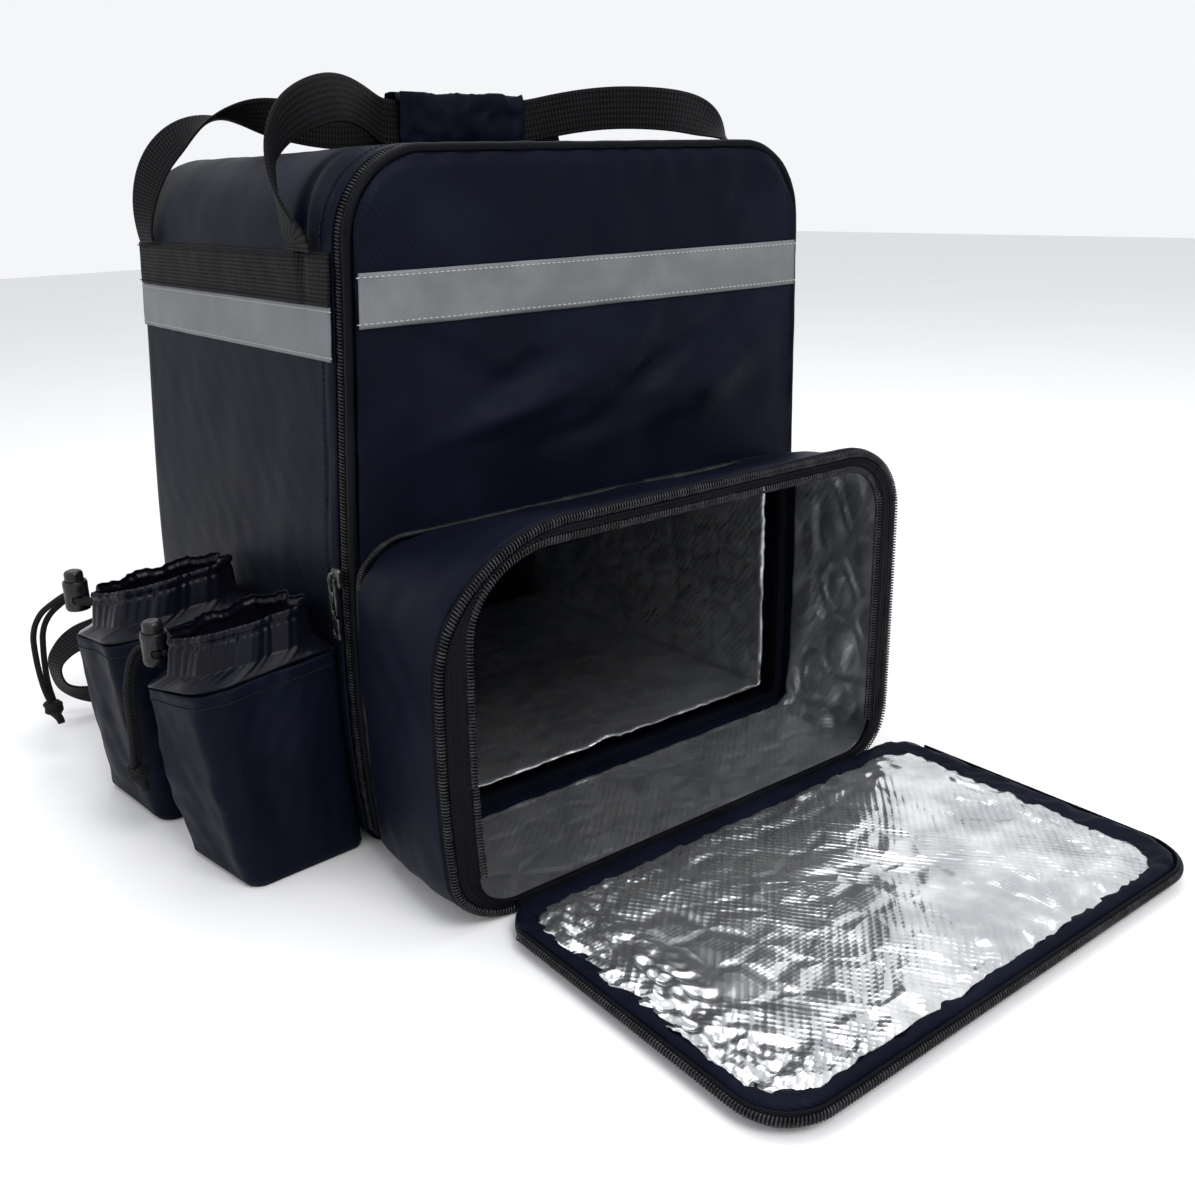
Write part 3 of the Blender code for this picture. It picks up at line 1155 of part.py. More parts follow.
def main():
    clear_scene()
    new_collection("insulated_backpack")
    new_collection("cutters").hide_render = True
    build_body()
    build_extension()
    build_flap()
    build_trim()
    build_handles()
    build_shoulder_straps()
    build_pockets()
    build_slider()


main()
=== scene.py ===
"""Render scene of the insulated delivery backpack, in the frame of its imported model, in metres.

Every cloth, webbing, foil and metal piece is a surface worked out on a grid of two parameters. The cloth
follows the same soft set of the filled body as the model's solids, and each finish is procedural.
"""

import logging
import math
from dataclasses import dataclass
from enum import Enum
from typing import Callable, Sequence

import bpy
import numpy as np
from mathutils import Matrix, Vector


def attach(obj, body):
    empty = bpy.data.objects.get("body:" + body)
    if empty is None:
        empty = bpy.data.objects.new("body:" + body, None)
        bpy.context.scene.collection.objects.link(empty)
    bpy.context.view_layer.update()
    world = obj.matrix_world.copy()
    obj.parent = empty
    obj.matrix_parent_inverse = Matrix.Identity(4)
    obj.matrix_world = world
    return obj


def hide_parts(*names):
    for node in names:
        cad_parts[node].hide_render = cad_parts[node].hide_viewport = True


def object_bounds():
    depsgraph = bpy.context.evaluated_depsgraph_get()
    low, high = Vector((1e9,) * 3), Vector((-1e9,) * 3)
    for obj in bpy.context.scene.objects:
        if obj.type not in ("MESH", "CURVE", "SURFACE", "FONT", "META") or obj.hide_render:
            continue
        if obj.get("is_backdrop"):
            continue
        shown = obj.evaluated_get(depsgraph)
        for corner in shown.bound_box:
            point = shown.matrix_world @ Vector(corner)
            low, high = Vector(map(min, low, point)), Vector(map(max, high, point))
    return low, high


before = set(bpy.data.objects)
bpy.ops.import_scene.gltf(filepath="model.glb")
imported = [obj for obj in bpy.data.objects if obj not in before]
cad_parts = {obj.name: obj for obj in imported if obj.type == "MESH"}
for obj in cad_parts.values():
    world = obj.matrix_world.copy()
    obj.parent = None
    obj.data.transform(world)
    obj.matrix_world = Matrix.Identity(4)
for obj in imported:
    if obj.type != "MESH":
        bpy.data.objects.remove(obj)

Array = np.ndarray
Colour = tuple[float, float, float, float]
LOG = logging.getLogger("backpack")

GAP = 0.0003
SEWN_GAP = 0.0007
COIL_RADIUS = 0.0023
PIPING_RADIUS = 0.0026
CORD_DIAMETER = 0.0040
CORNERS = ((0, 0), (0, 1), (1, 1), (1, 0))
RUN_COUNTS = (60, 70, 66, 70)
BEND_COUNT = 12
EDGE_SHARE = 0.28
UPRIGHT = (0.0, 0.0, 1.0)
REARWARD = (0.0, 1.0, 0.0)
FORWARD = np.array((0.0, -1.0, 0.0))


class Slot(Enum):
    """The record's material slots."""

    OXFORD = "oxford_cloth"
    FOIL = "foil_lining"
    COIL = "zipper_coil"
    COLLAR = "collar_nylon"
    CORD = "drawcord"
    WEBBING = "webbing"
    TAPE = "reflective_tape"
    PLASTIC = "lock_plastic"
    METAL = "zipper_metal"


class Side(Enum):
    """A side of the bag and its direction along x."""

    LEFT = -1
    RIGHT = 1

    @property
    def word(self) -> str:
        """The side's name in lower case."""
        return self.name.lower()


class Value:
    """A shader value whose arithmetic adds the Math nodes for it."""

    def __init__(self, graph: "Graph", socket: bpy.types.NodeSocket) -> None:
        """Wraps one output socket of a graph."""
        self.graph, self.socket = graph, socket

    def __add__(self, other: "Value | float") -> "Value":
        """This value plus another."""
        return self.graph.math("ADD", self, other)

    def __sub__(self, other: "Value | float") -> "Value":
        """This value less another."""
        return self.graph.math("SUBTRACT", self, other)

    def __rsub__(self, other: float) -> "Value":
        """A number less this value."""
        return self.graph.math("SUBTRACT", other, self)

    def __mul__(self, other: "Value | float") -> "Value":
        """This value times another."""
        return self.graph.math("MULTIPLY", self, other)

    def __truediv__(self, other: "Value | float") -> "Value":
        """This value divided by another."""
        return self.graph.math("DIVIDE", self, other)

    def __pow__(self, other: "Value | float") -> "Value":
        """This value to a power."""
        return self.graph.math("POWER", self, other)

    __radd__ = __add__
    __rmul__ = __mul__

    def sine(self) -> "Value":
        """The sine of this value."""
        return self.graph.math("SINE", self)

    def size(self) -> "Value":
        """This value without its sign."""
        return self.graph.math("ABSOLUTE", self)

    def step(self, low: float, high: float) -> "Value":
        """A smooth step from 0 at the low bound to 1 at the high one.

        Args:
            low: where the step begins.
            high: where it ends.

        Returns:
            the stepped value.
        """
        bounds = {"Value": self, "From Min": low, "From Max": high}
        made = self.graph.node("ShaderNodeMapRange", {"interpolation_type": "SMOOTHSTEP"}, bounds)
        return Value(self.graph, made.outputs[0])


class Graph:
    """The node tree of one material."""

    def __init__(self, name: str) -> None:
        """Starts an empty material with a Principled shader.

        Args:
            name: the material's name.
        """
        self.material = bpy.data.materials.new(name)
        self.material.use_nodes = True
        self.tree = self.material.node_tree
        self.shader = self.tree.nodes["Principled BSDF"]

    def node(self, kind: str, settings: dict, values: dict) -> bpy.types.Node:
        """Adds a node, with its settings set before its sockets.

        Args:
            kind: the node's type.
            settings: properties by name.
            values: numbers, colours or links by socket name or index.

        Returns:
            the node.
        """
        made = self.tree.nodes.new(kind)
        for key, setting in settings.items():
            setattr(made, key, setting)
        for key, value in values.items():
            self.feed(made.inputs[key], value)
        return made

    def feed(self, socket: bpy.types.NodeSocket, value: "Value | float | Sequence[float]") -> None:
        """Links a value to a socket, or sets a number on it.

        Args:
            socket: the input.
            value: what it gets.
        """
        if isinstance(value, Value):
            self.tree.links.new(value.socket, socket)
        else:
            socket.default_value = value

    def math(self, operation: str, *inputs: "Value | float") -> Value:
        """The result of one Math node on the inputs."""
        made = self.node("ShaderNodeMath", {"operation": operation}, dict(enumerate(inputs)))
        return Value(self, made.outputs[0])

    def mix(self, share: "Value | float", first: "Value | Colour", second: "Value | Colour") -> Value:
        """A colour between two others.

        Args:
            share: how much of the second.
            first: the colour at 0.
            second: the colour at 1.

        Returns:
            the mixed colour.
        """
        made = self.node("ShaderNodeMix", {"data_type": "RGBA"}, {0: share, 6: first, 7: second})
        return Value(self, made.outputs[2])

    def place(self) -> Value:
        """Object coordinates, in metres."""
        return Value(self, self.node("ShaderNodeTexCoord", {}, {}).outputs["Object"])

    def axes(self, vector: Value) -> tuple[Value, Value, Value]:
        """The three components of a vector."""
        made = self.node("ShaderNodeSeparateXYZ", {}, {0: vector})
        return Value(self, made.outputs[0]), Value(self, made.outputs[1]), Value(self, made.outputs[2])

    def run(self) -> tuple[Value, Value]:
        """The piece's own measure.

        Returns:
            the measure over its columns and along its rows, in metres.
        """
        made = self.node("ShaderNodeUVMap", {"uv_map": "measure"}, {})
        along, over, _ = self.axes(Value(self, made.outputs[0]))
        return along, over

    def noise(self, scale: float, detail: float, place: Value) -> Value:
        """Soft noise from 0 to 1.

        Args:
            scale: how many lumps there are in a metre.
            detail: its finer octaves.
            place: the coordinates it reads.

        Returns:
            the noise.
        """
        values = {"Vector": place, "Scale": scale, "Detail": detail}
        return Value(self, self.node("ShaderNodeTexNoise", {}, values).outputs[0])

    def cracks(self, scale: float, place: Value) -> Value:
        """The distance to the nearest edge of a net of irregular cells."""
        settings, values = {"feature": "DISTANCE_TO_EDGE"}, {"Vector": place, "Scale": scale}
        return Value(self, self.node("ShaderNodeTexVoronoi", settings, values).outputs[0])

    def bump(self, height: Value, distance: float, strength: float = 1.0) -> Value:
        """A normal turned by a height.

        Args:
            height: the relief, from 0 to 1.
            distance: how far 1 stands out, in metres.
            strength: how much of it shows.

        Returns:
            the normal.
        """
        values = {"Height": height, "Distance": distance, "Strength": strength}
        return Value(self, self.node("ShaderNodeBump", {}, values).outputs[0])

    def shade(self, **inputs: "Value | float | Sequence[float]") -> bpy.types.Material:
        """Feeds the shader.

        Args:
            **inputs: values by socket name, with underscores.

        Returns:
            the graph's material.
        """
        for key, value in inputs.items():
            self.feed(self.shader.inputs[key.replace("_", " ")], value)
        return self.material


@dataclass(frozen=True)
class Woven:
    """Cloth of two crossing trains of threads under a faint diagonal rib, with cloudy dust on it."""

    dark: Colour
    light: Colour
    pitch: float
    relief: float
    roughness: float
    sheen: float
    gloss: float = 0.5

    def material(self, name: str) -> bpy.types.Material:
        """The cloth's material, by its own measure in metres.

        Args:
            name: the material's name.

        Returns:
            the material.
        """
        graph = Graph(name)
        along, over = graph.run()
        turn = 2 * math.pi / self.pitch
        threads = (along * turn).sine() * (over * turn).sine()
        rib = ((along + over) * (turn / 2)).sine()
        weave = threads * 0.25 + rib * 0.25 + 0.5
        cloud = graph.noise(14, 4, graph.place())
        # Colour: partly painted shade, darker where the weave is low between the threads and lighter on their
        # crowns, and partly the cloud's dust.
        colour = graph.mix(weave * 0.45 + cloud.step(0.42, 0.75) * 0.5, self.dark, self.light)
        rough = self.roughness + (cloud - 0.5) * 0.16
        fine = graph.noise(420, 2, graph.place())
        normal = graph.bump(weave * 0.7 + fine * 0.3, self.relief)
        return graph.shade(
            Base_Color=colour, Roughness=rough, Normal=normal, Sheen_Weight=self.sheen, Sheen_Roughness=0.5,
            Sheen_Tint=(0.75, 0.74, 0.86, 1), Specular_IOR_Level=self.gloss,
        )


@dataclass(frozen=True)
class Ribbed:
    """Webbing: ribs across its length, crossed by strands that run along it."""

    dark: Colour
    light: Colour
    pitch: float
    relief: float
    roughness: float

    def material(self, name: str) -> bpy.types.Material:
        """The webbing's material, with its length along the rows' measure.

        Args:
            name: the material's name.

        Returns:
            the material.
        """
        graph = Graph(name)
        along, over = graph.run()
        rib = (over * (2 * math.pi / self.pitch)).sine() * 0.5 + 0.5
        strand = (along * (2 * math.pi / 0.0036)).sine() * 0.5 + 0.5
        height = rib * strand * 0.35 + rib * 0.45 + strand * 0.20
        worn = graph.noise(30, 4, graph.place()).step(0.45, 0.8)
        # Colour: painted shade, darker in the grooves and lighter on the crowns of ribs and strands, with
        # real wear from the worn noise.
        colour = graph.mix(height * 0.80 + worn * 0.20, self.dark, self.light)
        rough = self.roughness - rib * 0.10
        normal = graph.bump(height, self.relief)
        return graph.shade(Base_Color=colour, Roughness=rough, Normal=normal, Specular_IOR_Level=0.04)


@dataclass(frozen=True)
class Reflective:
    """Reflective tape: grey glass-bead cloth with soft creases across it and paler worn places."""

    dark: Colour
    light: Colour
    roughness: float

    def material(self, name: str) -> bpy.types.Material:
        """The tape's material.

        Args:
            name: the material's name.

        Returns:
            the material.
        """
        graph = Graph(name)
        along, over = graph.run()
        place = graph.place()
        beads = graph.noise(1500, 1, place)
        worn = graph.noise(24, 5, place).step(0.38, 0.72)
        weave = (along * 4200).sine() * (over * 4200).sine() * 0.5 + 0.5
        colour = graph.mix(worn * 0.7 + beads * 0.2 + weave * 0.1, self.dark, self.light)
        height = beads * 0.5 + weave * 0.2 + graph.noise(60, 3, place) * 0.9
        return graph.shade(
            Base_Color=colour, Roughness=self.roughness + worn * 0.12, Metallic=0.15,
            Normal=graph.bump(height, 0.0006, 0.6),
        )


@dataclass(frozen=True)
class Foil:
    """Aluminium foil on thin foam: a scrim of fine threads, crossing creases and crumpled patches."""

    dark: Colour
    light: Colour
    roughness: float
    scrim: float
    crease: float

    def material(self, name: str) -> bpy.types.Material:
        """The foil's material, on the piece's own place so that its scrim runs level with the bag.

        Args:
            name: the material's name.

        Returns:
            the material.
        """
        graph = Graph(name)
        place = graph.place()
        x, y, z = graph.axes(place)
        bend = graph.noise(9, 2, place) * 0.006
        turn = 2 * math.pi / 0.0052
        level = (x + z * 0.3 + bend) * turn
        rise = (y + z + bend) * turn
        shown = graph.noise(13, 2, place).step(0.38, 0.66)
        scrim = (level.sine().size() ** 6 * 0.5 + rise.sine().size() ** 6 * 0.5) * shown
        first = ((x * 0.8 + y * 0.6 + z * 0.5 + bend) * 900).sine().size()
        second = ((x * 0.7 - y * 0.72 - z * 0.4 + bend) * 760).sine().size()
        patch = graph.noise(11, 3, place).step(0.42, 0.62)
        other = graph.noise(9, 3, place).step(0.40, 0.65)
        lines = (first ** 3) * patch * 0.5 + (second ** 3) * (1 - other) * 0.5
        crumple = graph.cracks(46, place).step(0.0, 0.30)
        height = scrim * self.scrim + lines * self.crease + crumple * 0.55 + graph.noise(20, 1, place) * 2.4
        dull = graph.noise(34, 4, place)
        # Colour: the crease lines are painted darker, painted shade along the creases; the dull patches are
        # darker and rougher at random.
        colour = graph.mix(dull.step(0.3, 0.7) * 0.7 + lines * 0.3, self.light, self.dark)
        rough = self.roughness + dull * 0.18 + lines * 0.10
        return graph.shade(
            Base_Color=colour, Roughness=rough, Metallic=0.92, Normal=graph.bump(height, 0.0016, 0.8),
        )


@dataclass(frozen=True)
class Moulded:
    """Moulded plastic or cast metal: fine grain and rubbed high places."""

    dark: Colour
    light: Colour
    roughness: float
    metallic: float
    grain: float
    gloss: float = 0.5

    def material(self, name: str) -> bpy.types.Material:
        """The material, on the piece's own place.

        Args:
            name: the material's name.

        Returns:
            the material.
        """
        graph = Graph(name)
        place = graph.place()
        rubbed = graph.noise(160, 4, place)
        fine = graph.noise(2600, 2, place)
        colour = graph.mix(rubbed.step(0.35, 0.75), self.dark, self.light)
        rough = self.roughness + (rubbed - 0.5) * 0.2
        normal = graph.bump(fine * 0.5 + rubbed * 0.5, self.grain)
        return graph.shade(
            Base_Color=colour, Roughness=rough, Metallic=self.metallic, Normal=normal,
            Specular_IOR_Level=self.gloss,
        )


@dataclass(frozen=True)
class Braided:
    """Round braided cord: two trains of strands that cross on a slant."""

    dark: Colour
    light: Colour
    strand: float
    relief: float

    def material(self, name: str) -> bpy.types.Material:
        """The cord's material, by its own measure round and along it.

        Args:
            name: the material's name.

        Returns:
            the material.
        """
        graph = Graph(name)
        along, over = graph.run()
        turn = 2 * math.pi / self.strand
        right = ((over + along) * turn).sine() * 0.5 + 0.5
        left = ((over - along) * turn).sine() * 0.5 + 0.5
        height = graph.math("MAXIMUM", right, left)
        # Colour: painted shade, darker in the grooves between the strands and lighter on their crowns.
        colour = graph.mix(height * 0.8, self.dark, self.light)
        rough = 0.78 - height * 0.1
        normal = graph.bump(height, self.relief)
        return graph.shade(Base_Color=colour, Roughness=rough, Normal=normal, Specular_IOR_Level=0.10)


class Finish(Enum):
    """The finishes of the bag's pieces."""

    OXFORD = Woven((0.002, 0.0029, 0.007, 1), (0.0062, 0.0084, 0.018, 1), 0.0013, 0.00018, 0.43, 0.003, 0.034)
    BINDING = Woven((0.0016, 0.0018, 0.003, 1), (0.0062, 0.0066, 0.0092, 1), 0.001, 0.0002, 0.44, 0.005, 0.05)
    COLLAR = Woven((0.0018, 0.0021, 0.0042, 1), (0.0072, 0.008, 0.0135, 1), 0.0007, 8e-5, 0.22, 0.006, 0.12)
    WEBBING = Ribbed((0.0012, 0.0012, 0.0015, 1), (0.0165, 0.0170, 0.0185, 1), 0.0023, 0.00020, 0.58)
    TAPE = Reflective((0.095, 0.100, 0.107, 1), (0.158, 0.164, 0.173, 1), 0.44)
    FOIL = Foil((0.36, 0.37, 0.39, 1), (0.90, 0.91, 0.92, 1), 0.11, 0.09, 0.26)
    # The same foil as the flap's, its pale colour painted darker: painted shade for the inside of the body
    # and the extension.
    LINING = Foil((0.34, 0.35, 0.37, 1), (0.74, 0.75, 0.76, 1), 0.22, 0.11, 0.16)
    COIL = Moulded((0.004, 0.004, 0.005, 1), (0.030, 0.030, 0.033, 1), 0.36, 0.0, 0.00005, 0.3)
    PLASTIC = Moulded((0.004, 0.004, 0.005, 1), (0.014, 0.014, 0.016, 1), 0.34, 0.0, 0.00006, 0.3)
    METAL = Moulded((0.030, 0.030, 0.031, 1), (0.120, 0.118, 0.118, 1), 0.30, 0.85, 0.00008)
    CORD = Braided((0.0012, 0.0012, 0.0018, 1), (0.0150, 0.0148, 0.0165, 1), 0.0024, 0.00045)
    THREAD = Braided((0.20, 0.20, 0.21, 1), (0.42, 0.42, 0.42, 1), 0.0006, 0.00005)
    DARK_THREAD = Braided((0.003, 0.003, 0.004, 1), (0.014, 0.014, 0.017, 1), 0.0006, 0.00005)

    def material(self) -> bpy.types.Material:
        """The finish's one material, built when it is first asked for."""
        name = f"{self.name.lower()}_finish"
        return bpy.data.materials.get(name) or self.value.material(name)


def smooth_step(share: Array) -> Array:
    """3s² - 2s³ of a share kept from 0 to 1."""
    share = np.clip(share, 0, 1)
    return share * share * (3 - 2 * share)


def soft_noise(points: Array, wave: float, seed: int) -> Array:
    """A sum of 14 plane waves of seeded directions and phases, about 1 in size.

    Args:
        points: places, their coordinates last.
        wave: the mean wavelength in metres.
        seed: chooses the waves.

    Returns:
        one value for each place.
    """
    chance = np.random.default_rng(seed)
    heading = chance.normal(size=(points.shape[-1], 14))
    heading /= np.linalg.norm(heading, axis=0)
    heading *= 2 * math.pi / (wave * chance.uniform(0.65, 1.5, 14))
    return np.sin(points @ heading + chance.uniform(0, 2 * math.pi, 14)).sum(axis=-1) / math.sqrt(14)


def sharp_noise(points: Array, wave: float, seed: int) -> Array:
    """Folded noise, one less twice its size, which has sharp ridges and soft hollows."""
    return 1 - 2 * np.abs(soft_noise(points, wave, seed))


@dataclass(frozen=True)
class Crease:
    """A soft ridge, a furrow where depth is negative: depth · exp(-(along/length)² - (over/width)²)."""

    across: float
    up: float
    length: float
    width: float
    turn: float
    depth: float

    def relief(self, across: Array, up: Array) -> Array:
        """The crease's height at places on its panel, turned by its angle.

        Args:
            across: places across the panel.
            up: places up the panel.

        Returns:
            the height at each of them.
        """
        turn = math.radians(self.turn)
        along = (across - self.across) * math.cos(turn) + (up - self.up) * math.sin(turn)
        over = (up - self.up) * math.cos(turn) - (across - self.across) * math.sin(turn)
        return self.depth * np.exp(-((along / self.length) ** 2) - (over / self.width) ** 2)


def creased(creases: Sequence[Crease], across: Array, up: Array) -> Array:
    """The sum of the creases' heights."""
    return sum(crease.relief(across, up) for crease in creases)


def arc(points: Array) -> Array:
    """The length run along a line of points up to each of them."""
    steps = np.linalg.norm(np.diff(points, axis=0), axis=-1)
    return np.concatenate(((0,), np.cumsum(steps)))


def spaced(path: Array, step: float, closed: bool = False) -> Array:
    """Points at even steps along a path.

    Args:
        path: the path's points.
        step: the wished spacing, fitted to the path's length.
        closed: whether the path runs back to its start.

    Returns:
        the even points, without the start again where closed.
    """
    if closed:
        path = np.concatenate((path, path[:1]))
    run = arc(path)
    count = max(int(round(run[-1] / step)), 4)
    marks = np.arange(count if closed else count + 1) / count * run[-1]
    return np.stack([np.interp(marks, run, column) for column in path.T], axis=-1)


def curve_through(rows: Array, count: int) -> Array:
    """Points of a Catmull-Rom curve through rows, evenly many on each stretch.

    Args:
        rows: the points it runs through.
        count: how many points to give.

    Returns:
        the curve's points.
    """
    padded = np.concatenate(((2 * rows[0] - rows[1],), rows, (2 * rows[-1] - rows[-2],)))
    share = np.linspace(0, len(rows) - 1, count)
    i = np.minimum(share.astype(int), len(rows) - 2)
    t = (share - i)[:, None]
    a, b, c, d = padded[i], padded[i + 1], padded[i + 2], padded[i + 3]
    return 0.5 * (2 * b + (c - a) * t + (2 * a - 5 * b + 4 * c - d) * t**2 + (3 * b - a - 3 * c + d) * t**3)


def unit(vectors: Array) -> Array:
    """Vectors of length 1 along the given ones."""
    return vectors / np.maximum(np.linalg.norm(vectors, axis=-1, keepdims=True), 1e-12)


def tangents(path: Array, closed: bool = False) -> Array:
    """The direction of a path at each of its points.

    Args:
        path: the points.
        closed: whether it runs back to its start.

    Returns:
        directions of length 1.
    """
    if closed:
        return unit(np.roll(path, -1, axis=0) - np.roll(path, 1, axis=0))
    return unit(np.gradient(path, axis=0))


def carried(path: Array, across: Array, face: Array, section: Array) -> Array:
    """A section carried along a path: path + section's first measure · across + its second · face."""
    first, second = section[..., 0, None], section[..., 1, None]
    return path[:, None] + first * across[:, None] + second * face[:, None]


def round_section(radius: float, sides: int, rise: float | None = None) -> Array:
    """A circle's points, or an ellipse's where rise gives its other half width."""
    turns = np.arange(sides) * 2 * math.pi / sides
    return np.stack((radius * np.cos(turns), (radius if rise is None else rise) * np.sin(turns)), axis=-1)


def flat_section(width: float, wall: float, edge: int = 5, middle: int = 10) -> Array:
    """A strap's section: two level runs joined by half round edges.

    Args:
        width: its width.
        wall: its thickness.
        edge: points on each edge.
        middle: points on each run.

    Returns:
        an (n, 2) loop.
    """
    half, radius = width / 2 - wall / 2, wall / 2
    turns = np.linspace(-math.pi / 2, math.pi / 2, edge + 2)[1:-1]
    run = np.linspace(-half, half, middle)
    right = np.stack((half + radius * np.cos(turns), radius * np.sin(turns)), axis=-1)
    low = np.stack((run, np.full(middle, -radius)), axis=-1)
    return np.concatenate((low, right, -low, -right))


def new_object(name: str, points: Array, faces: list, measure: Array) -> bpy.types.Object:
    """An object from points, faces and the measure of each face corner.

    Args:
        name: the piece's name.
        points: its vertices, an (n, 3) array.
        faces: lists of vertex numbers.
        measure: an (m, 2) array in metres, in the faces' order.

    Returns:
        the object, smooth shaded.
    """
    mesh = bpy.data.meshes.new(name)
    mesh.from_pydata(points.tolist(), [], faces)
    layer = mesh.uv_layers.new(name="measure")
    layer.data.foreach_set("uv", np.asarray(measure, np.float32).ravel())
    mesh.shade_smooth()
    made = bpy.data.objects.new(name, mesh)
    bpy.context.scene.collection.objects.link(made)
    return made


def surface(
    name: str, points: Array, around: bool = False, ring: bool = False,
    first: bool = False, last: bool = False,
) -> bpy.types.Object:
    """A mesh on a grid of points, its faces turned out where the columns run anticlockwise.

    Args:
        name: the piece's name.
        points: a (rows, columns, 3) array.
        around: whether the columns close to a loop.
        ring: whether the rows close too.
        first: whether the first row is closed by a face.
        last: whether the last row is.

    Returns:
        the object.
    """
    rows, columns = points.shape[:2]
    i, j = np.meshgrid(
        np.arange(rows if ring else rows - 1), np.arange(columns if around else columns - 1), indexing="ij",
    )
    faces = np.stack([(i + a) % rows * columns + (j + b) % columns for a, b in CORNERS], axis=-1)
    faces = faces.reshape(-1, 4)
    middle = points[rows // 2]
    across = arc(np.concatenate((middle, middle[:1])))
    stride = np.linalg.norm(np.diff(np.concatenate((points, points[:1])), axis=0), axis=-1).mean(axis=1)
    along = np.concatenate(((0,), np.cumsum(stride)))
    measure = np.stack([np.stack((across[j + b], along[i + a]), axis=-1) for a, b in CORNERS], axis=-2)
    measure = measure.reshape(-1, 2)
    faces = faces.tolist()
    order = np.arange(columns)
    turns = order * 2 * math.pi / columns
    end = 0.004 * np.stack((np.cos(turns), np.sin(turns)), axis=-1)
    if first:
        faces.append(order[::-1].tolist())
        measure = np.concatenate((measure, end))
    if last:
        faces.append((order + (rows - 1) * columns).tolist())
        measure = np.concatenate((measure, end))
    return new_object(name, points.reshape(-1, 3), faces, measure)


def outward(points: Array, inside: Sequence[float], around: bool = True) -> Array:
    """The grid with its columns turned over where its faces would look towards the inside.

    Args:
        points: the grid.
        inside: a place on the inner side.
        around: whether the columns close to a loop.

    Returns:
        the grid, with its faces looking out.
    """
    closed = np.concatenate((points, points[:, :1]), axis=1) if around else points
    over = np.diff(closed, axis=1)[:-1]
    along = np.diff(closed, axis=0)[:, :-1]
    normal = np.cross(over, along)
    toward = ((closed[:-1, :-1] - np.asarray(inside, float)) * normal).sum()
    return points if toward > 0 else points[:, ::-1]


def solid(name: str, points: Array, ring: bool = False) -> bpy.types.Object:
    """A closed piece on a grid whose columns close and whose rows are capped or close too.

    Args:
        name: the piece's name.
        points: the grid.
        ring: whether the rows close.

    Returns:
        the object.
    """
    closed = outward(points, points.mean(axis=(0, 1)))
    if ring:
        around = np.concatenate((points, points[:1]))
        around = np.concatenate((around, around[:, :1]), axis=1)
        normal = np.cross(np.diff(around, axis=1)[:-1], np.diff(around, axis=0)[:, :-1])
        closed = points if (around[:-1, :-1] * normal).sum() > 0 else points[:, ::-1]
    return surface(name, closed, around=True, ring=ring, first=not ring, last=not ring)


def walled(piece: bpy.types.Object, wall: float, offset: float = -1) -> bpy.types.Object:
    """Gives an open sheet its wall.

    Args:
        piece: the sheet.
        wall: its thickness.
        offset: -1 against its normals, 1 along them.

    Returns:
        the same piece.
    """
    modifier = piece.modifiers.new("wall", "SOLIDIFY")
    modifier.thickness = wall
    modifier.offset = offset
    modifier.use_even_offset = True
    modifier.thickness_clamp = 2
    return piece


def dressed(
    piece: bpy.types.Object, finish: Finish, nodes: Sequence[str] = (), body: str = "bag",
) -> bpy.types.Object:
    """Gives a piece its finish, the body that carries it and the nodes it stands for.

    Args:
        piece: the new piece.
        finish: its finish.
        nodes: the model's nodes that it replaces.
        body: the body that it rides on.

    Returns:
        the same piece.
    """
    piece.data.materials.clear()
    piece.data.materials.append(finish.material())
    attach(piece, body)
    if nodes:
        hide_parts(*nodes)
    LOG.info("%s: %d faces", piece.name, len(piece.data.polygons))
    return piece


def repeated(name: str, grids: Array) -> bpy.types.Object:
    """One mesh of many small closed grids.

    Args:
        name: the piece's name.
        grids: a (pieces, rows, columns, 3) array.

    Returns:
        the object.
    """
    count, rows, columns = grids.shape[:3]
    i, j = np.meshgrid(np.arange(rows - 1), np.arange(columns), indexing="ij")
    sides = np.stack([(i + a) * columns + (j + b) % columns for a, b in CORNERS], axis=-1).reshape(-1, 4)
    first = np.arange(columns)
    start = (np.arange(count) * rows * columns)[:, None]
    faces = (sides[None] + start[:, :, None]).reshape(-1, 4).tolist()
    faces += (first[::-1] + start).tolist() + (first + (rows - 1) * columns + start).tolist()
    corner_count = 4 * len(sides) * count + 2 * columns * count
    number = np.arange(corner_count)
    measure = np.stack((number % 4 * 0.0004, number // 4 % 6 * 0.0004), axis=-1)
    return new_object(name, grids.reshape(-1, 3), faces, measure)


def stitches(
    name: str, path: Array, up: Array, pitch: float = 0.0036, size: float = 0.00042,
) -> bpy.types.Object:
    """A row of stitches: short six-sided grains, thick in the middle and sunk at both ends.

    Args:
        name: the piece's name.
        path: the seam's line on the cloth.
        up: the cloth's normal at each point, or one for all.
        pitch: the step from stitch to stitch.
        size: half a stitch's thickness.

    Returns:
        the object.
    """
    up = np.broadcast_to(up, path.shape)
    line = spaced(np.concatenate((path, up), axis=1), pitch)
    centre, raised = line[:, :3], unit(line[:, 3:])
    ahead = tangents(centre)
    across = unit(np.cross(raised, ahead))
    share = np.array((-0.5, -0.3, 0.0, 0.3, 0.5)) * 0.72 * pitch
    girth = np.array((0.45, 0.9, 1.0, 0.9, 0.45)) * size
    sink = np.array((-0.9, -0.1, 0.15, -0.1, -0.9)) * size
    turns = np.arange(6) * math.pi / 3
    ring = np.cos(turns)[:, None] * across[:, None, None] + np.sin(turns)[:, None] * raised[:, None, None]
    spine = centre[:, None] + share[:, None] * ahead[:, None] + sink[:, None] * raised[:, None]
    return repeated(name, (spine[:, :, None] + girth[:, None, None] * ring)[:, ::-1])


